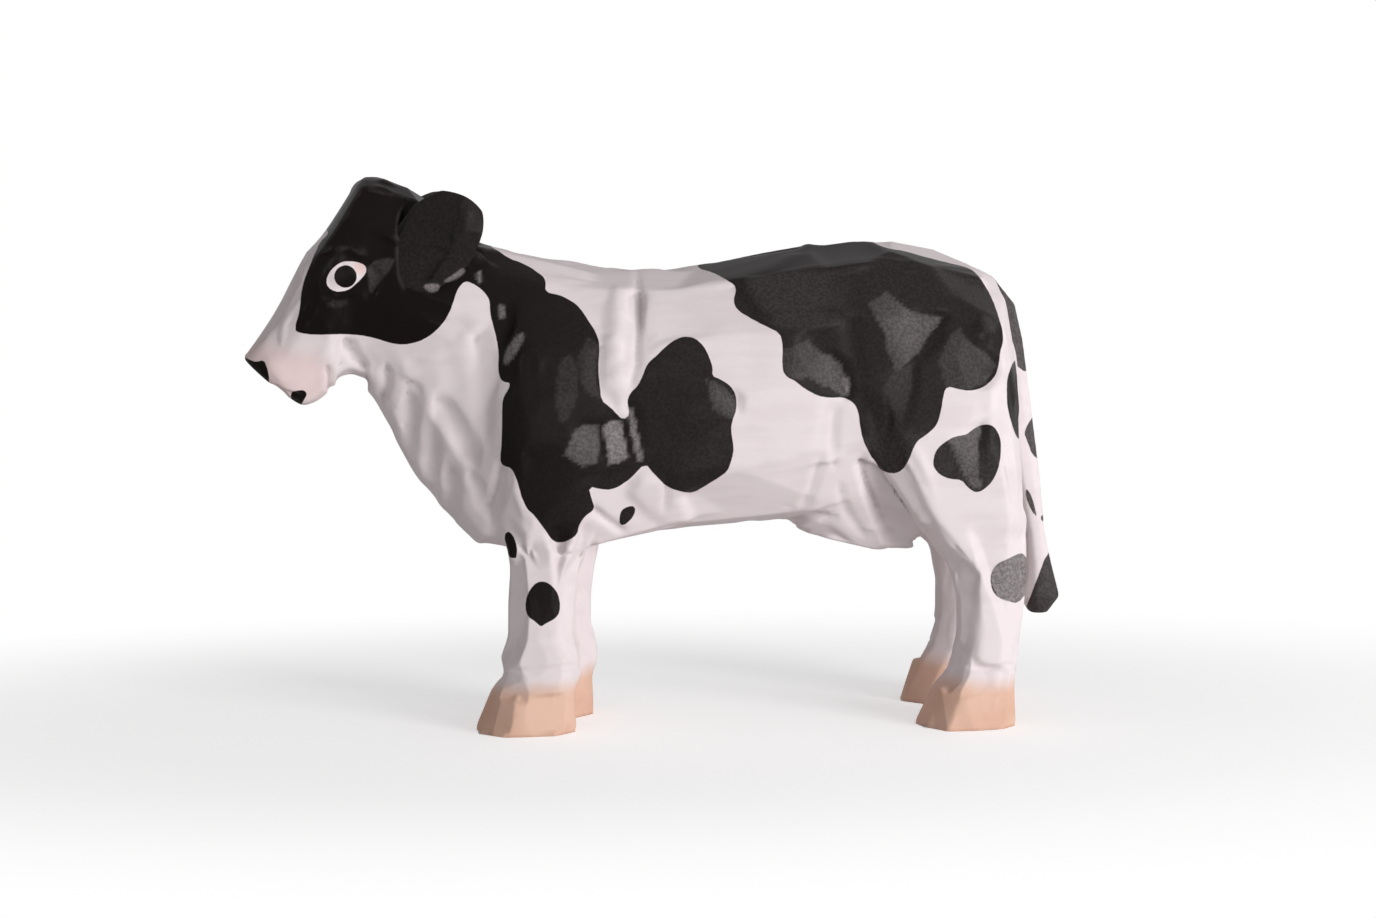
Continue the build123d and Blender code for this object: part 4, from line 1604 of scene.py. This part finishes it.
@dataclass
class CarvedBlocks:
    """The trunk, head and lower legs: one carved skin, sawn into blocks at the glued joints."""

    voxel: float = 0.48 * MM
    body_passes: int = 18
    head_passes: int = 7
    leg_passes: int = 3
    last_body_passes: int = 1
    last_head_passes: int = 4
    last_rear_passes: int = 5
    leg_top: Span = (25.0, 38.0)
    head_back: float = -38.0
    head_bottom: float = 46.0
    rear: tuple[float, float] = (47.5, 40.0)
    overlap: float = 3.0 * MM
    sole_height: float = 0.35 * MM
    stray_gap: float = 1.0 * MM
    normal_layer: str = "skin_normal"
    facets: KnifeFacets = KnifeFacets()
    gouging: Gouging = Gouging()
    coat: Coat = Coat()

    def passes(self, points: Array) -> Array:
        """Chooses how often each place is sanded before it is carved.

        Args:
            points: The places, in millimetres.

        Returns:
            The number of passes at each.
        """
        rise = smooth_step(points[:, 2], *self.leg_top)
        count = self.leg_passes + (self.body_passes - self.leg_passes) * rise
        count[self.on_head(points)] = self.head_passes
        return np.round(count)

    def last_passes(self, points: Array) -> Array:
        """How often each place, in millimetres, is sanded after it is carved."""
        count = np.where(self.on_head(points), self.last_head_passes, self.last_body_passes)
        return np.where(np.all(points[:, [0, 2]] > self.rear, axis=1), self.last_rear_passes, count)

    def on_head(self, points: Array) -> Array:
        """Tells which points, in millimetres, lie on the head."""
        return (points[:, 0] < self.head_back) & (points[:, 2] > self.head_bottom)

    def refine(self, skin: bpy.types.Mesh) -> None:
        """Halves the squares on the head and the legs, where the carving is finest.

        Args:
            skin: The sanded skin.
        """
        with on_bench(skin) as fine:
            middles = np.array([face.calc_center_median() for face in fine.faces])
            middle, forward = self.neck_joint()
            before = (middles - np.array(middle)) @ np.array(forward) > -self.overlap
            on_head = before & (middles[:, 2] > self.head_bottom * MM)
            on_legs = middles[:, 2] < self.leg_top[0] * MM + self.overlap
            chosen = (face for face, wanted in zip(fine.faces, on_head | on_legs) if wanted)
            sides = {edge for face in chosen for edge in face.edges}
            bmesh.ops.subdivide_edges(fine, edges=list(sides), cuts=1, use_grid_fill=True)

    def carve(self) -> bpy.types.Mesh:
        """Carves the skin over all blocks.

        Returns:
            The carved skin.
        """
        skin = rough_blank("carved_skin", [block.value for block in Block], self.voxel)
        sand(skin, self.passes)
        self.refine(skin)
        self.facets.carve(skin)
        sand(skin, self.last_passes)
        self.gouging.carve(skin)
        sand(skin, self.last_passes)
        self.settle(skin)
        # From the crease layer the finish paints shade into the creases and highlight along the ridges; on the
        # legs it is 0.
        shanks = smooth_step(Surface.of(skin).points[:, 2] / MM, *self.leg_top)
        set_layer(skin, Layer.CREASE, crease_depth(skin) * shanks)
        normals = skin.attributes.new(self.normal_layer, "FLOAT_VECTOR", "POINT")
        normals.data.foreach_set("vector", Surface.of(skin).normals.astype(np.float32).ravel())
        return skin

    def settle(self, skin: bpy.types.Mesh) -> None:
        """Levels the soles on the floor and keeps the skin in the frame's box.

        Args:
            skin: The carved skin.
        """
        points = Surface.of(skin).points
        points[points[:, 2] < self.sole_height, 2] = 0.0
        set_points(skin, np.clip(points, np.array(CAD_BOX[0]), np.array(CAD_BOX[1])))

    def neck_joint(self) -> tuple[Vector, Vector]:
        """The head joint's plane, through the middles of its two dowels.

        Returns:
            A point of the plane and its normal, towards the head.
        """
        low, high = (sum(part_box(f"neck_dowel_{place}"), Vector()) / 2 for place in ("lower", "upper"))
        return low, (high - low).cross(Vector((0.0, 1.0, 0.0))).normalized()

    def keep_normals(self, mesh: bpy.types.Mesh) -> None:
        """Shades a sawn block as the whole skin was, so that no seam shows in the paint.

        Args:
            mesh: The block's mesh, whose points still hold the skin's normals.
        """
        kept = np.empty(len(mesh.vertices) * 3, dtype=np.float32)
        mesh.attributes[self.normal_layer].data.foreach_get("vector", kept)
        kept = kept.reshape(-1, 3)
        kept /= np.maximum(np.linalg.norm(kept, axis=1), TINY)[:, None]
        corners = np.empty(len(mesh.loops), dtype=np.int64)
        mesh.loops.foreach_get("vertex_index", corners)
        normals = kept[corners]
        for face in mesh.polygons:
            if not face.use_smooth:
                normals[face.loop_start:face.loop_start + face.loop_total] = face.normal
        mesh.normals_split_custom_set(normals.tolist())
        mesh.attributes.remove(mesh.attributes[self.normal_layer])

    def saw(self, skin: bpy.types.Mesh, block: Block) -> bpy.types.Mesh:
        """Saws one block off the carved skin, with flat faces at its joints.

        Args:
            skin: The carved skin.
            block: The block to keep.

        Returns:
            The block's mesh.
        """
        middle, forward = self.neck_joint()
        low, high = (Vector(corner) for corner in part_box(block.value))
        level = Vector(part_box(Block.FORE_LEFT.value)[1])
        up = Vector((0.0, 0.0, 1.0))
        cuts = {
            Block.TRUNK: ((middle, forward), (level, -up)),
            Block.HEAD: ((middle, -forward),),
        }.get(block, ((level, up),))
        mesh = skin.copy()
        mesh.name = f"carved_{block.value}"
        with on_bench(mesh) as piece:
            for face in piece.faces:
                face.smooth = True
            for point, outward in cuts:
                parts = piece.verts[:] + piece.edges[:] + piece.faces[:]
                sawn = bmesh.ops.bisect_plane(
                    piece, geom=parts, dist=KERF, plane_co=point, plane_no=outward, clear_outer=True
                )
                rim = [edge for edge in sawn["geom_cut"] if isinstance(edge, bmesh.types.BMEdge)]
                for edge in rim:
                    edge.smooth = False
                for face in bmesh.ops.edgeloop_fill(piece, edges=rim)["faces"]:
                    face.smooth = False
            if block not in (Block.TRUNK, Block.HEAD):
                centre, reach = (low + high) / 2, (high - low) / 2
                strays = [
                    vert for vert in piece.verts
                    if abs(vert.co.x - centre.x) > reach.x + self.stray_gap
                    or abs(vert.co.y - centre.y) > reach.y + self.stray_gap
                ]
                bmesh.ops.delete(piece, geom=strays, context="VERTS")
            bmesh.ops.recalc_face_normals(piece, faces=piece.faces)
        self.keep_normals(mesh)
        return mesh

    def build(self, paint: bpy.types.Material) -> None:
        """Carves, saws, paints and shows the blocks.

        Args:
            paint: The coat's finish.
        """
        skin = self.carve()
        for block in Block:
            mesh = self.saw(skin, block)
            self.coat.paint(mesh)
            show(f"carved_{block.value}", mesh, block.value, paint)
        bpy.data.meshes.remove(skin)


@dataclass
class Ears:
    """The two leaf-shaped ears, folded back along the head and black all over. Sizes are in millimetres."""

    root: Place = (-42.0, 5.1, 65.6)
    tip: Place = (-28.6, 13.0, 78.7)
    lean: float = 0.3
    breadth: float = 11.2
    thickness: float = 5.2
    hollow: float = 1.1
    hollow_length: float = 0.8
    hollow_breadth: float = 0.72
    root_narrowing: float = 0.16
    fineness: int = 6
    passes: int = 2
    facets: KnifeFacets = KnifeFacets(
        seed=5, rivals=3, neck_facet=3.6, head_facet=3.6, stray_deg=4.0, neck_sheen_fade=(-60.0, -50.0)
    )
    coat: Coat = Coat()

    def shape(self, side: Side) -> bpy.types.Mesh:
        """Shapes one ear.

        Args:
            side: The side of the head that it sits on.

        Returns:
            The ear's mesh.
        """
        mirror = Vector((1.0, side.value, 1.0))
        root, tip = (Vector(end) * mirror * MM for end in (self.root, self.tip))
        along = (tip - root).normalized()
        outward = Vector((0.0, side.value, self.lean))
        outward = (outward - along * outward.dot(along)).normalized()
        across = along.cross(outward)
        mesh = bpy.data.meshes.new(f"carved_ear_{side.name.lower()}")
        with on_bench(mesh) as leaf:
            bmesh.ops.create_icosphere(leaf, subdivisions=self.fineness, radius=1.0)
            for vert in leaf.verts:
                u, v, w = vert.co
                side_ease = max(0.0, 1.0 - (v / self.hollow_breadth) ** 2)
                end_ease = max(0.0, 1.0 - (u / self.hollow_length) ** 2)
                dip = self.hollow * side_ease * end_ease if w > 0.0 else 0.0
                wide = v * self.breadth / 2 * (1.0 + self.root_narrowing * u) * MM
                thick = (w * self.thickness / 2 - dip) * MM
                spine = (root + tip) / 2 + along * u * (tip - root).length / 2
                vert.co = spine + across * wide + outward * thick
            bmesh.ops.recalc_face_normals(leaf, faces=leaf.faces)
        return mesh

    def build(self, paint: bpy.types.Material) -> None:
        """Carves, paints and shows the ears.

        Args:
            paint: The coat's finish.
        """
        for side in Side:
            mesh = self.shape(side)
            self.facets.carve(mesh)
            sand(mesh, evenly(self.passes))
            set_layer(mesh, Layer.CREASE, crease_depth(mesh))
            self.coat.paint_black(mesh)
            mesh.shade_smooth()
            show(mesh.name, mesh, f"ear_{side.name.lower()}", paint)


@dataclass
class Tail:
    """The tail that lies on the rump and hangs down to its tuft."""

    voxel: float = 0.3 * MM
    passes: int = 4
    coat: Coat = Coat()

    def build(self, paint: bpy.types.Material) -> None:
        """Carves, paints and shows the tail.

        Args:
            paint: The coat's finish.
        """
        mesh = rough_blank("carved_tail", ["tail"], self.voxel)
        sand(mesh, evenly(self.passes))
        set_layer(mesh, Layer.CREASE, crease_depth(mesh))
        self.coat.paint_tail(mesh)
        mesh.shade_smooth()
        show("carved_tail", mesh, "tail", paint)


@dataclass
class Joinery:
    """The dowels and pegs inside the joints."""

    names: tuple[str, ...] = tuple(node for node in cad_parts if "dowel" in node or "peg" in node)

    def dress(self, wood: bpy.types.Material) -> None:
        """Gives the dowels and pegs their bare wood.

        Args:
            wood: The finish.
        """
        for name in self.names:
            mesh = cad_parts[name].data
            mesh.materials.clear()
            mesh.materials.append(wood)
            log.info("%s: bare wood", name)


@dataclass(frozen=True)
class Lamp:
    """A square soft box that points at the figure."""

    name: str
    place: Place
    size: float
    watts: float
    aim: Place = (0.0, 0.0, 0.04)

    def build(self) -> None:
        """Hangs the lamp."""
        data = bpy.data.lights.new(self.name, "AREA")
        data.shape = "SQUARE"
        data.size = self.size
        data.energy = self.watts
        lamp = set_out(self.name, data)
        lamp.location = self.place
        lamp.rotation_euler = (Vector(self.aim) - Vector(self.place)).to_track_quat("-Z", "Y").to_euler()


@dataclass
class Studio:
    """A pale floor, a soft lamp in front on the right, a weak one above and a white surround."""

    floor_half: float = 3.0
    surround: Colour = (1.0, 1.0, 1.0, 1.0)
    surround_light: float = 0.33
    lamps: tuple[Lamp, ...] = (
        Lamp("key_light", (0.48, -0.608, 0.13), 0.35, 5.25),
        Lamp("sky_light", (0.0, 0.1, 0.9), 0.8, 0.12),
    )

    def build(self) -> None:
        """Makes the floor, the lamps and the surround."""
        mesh = bpy.data.meshes.new("pale_floor")
        with on_bench(mesh) as plane:
            bmesh.ops.create_grid(plane, x_segments=1, y_segments=1, size=self.floor_half)
        mesh.materials.append(FloorFinish().build())
        set_out("pale_floor", mesh)
        for lamp in self.lamps:
            lamp.build()
        self.build_surround()
        bpy.context.scene.view_settings.view_transform = "Standard"

    def build_surround(self) -> None:
        """Makes the white surround, dimmer as a light than as a background."""
        world = bpy.data.worlds.new("white_surround")
        nodes = NodeTree(world)
        path = nodes.add("ShaderNodeLightPath")
        seen = path.outputs["Is Camera Ray"]
        for ray in ("Is Glossy Ray", "Is Transmission Ray"):
            seen = nodes.math("MAXIMUM", seen, path.outputs[ray])
        strength = nodes.add("ShaderNodeMapRange", None, Value=seen, To_Min=self.surround_light)
        background = nodes.tree.nodes["Background"]
        nodes.fill(background, Color=self.surround, Strength=strength.outputs["Result"])
        bpy.context.scene.world = world


def main() -> None:
    """Builds the figure and its studio."""
    logging.basicConfig(level=logging.INFO, format="%(name)s: %(message)s")
    paint = CoatFinish().build()
    CarvedBlocks().build(paint)
    Ears().build(paint)
    Tail().build(paint)
    Joinery().dress(BareWoodFinish().build())
    PHOTO.build()
    Studio().build()


if __name__ == "__main__":
    main()
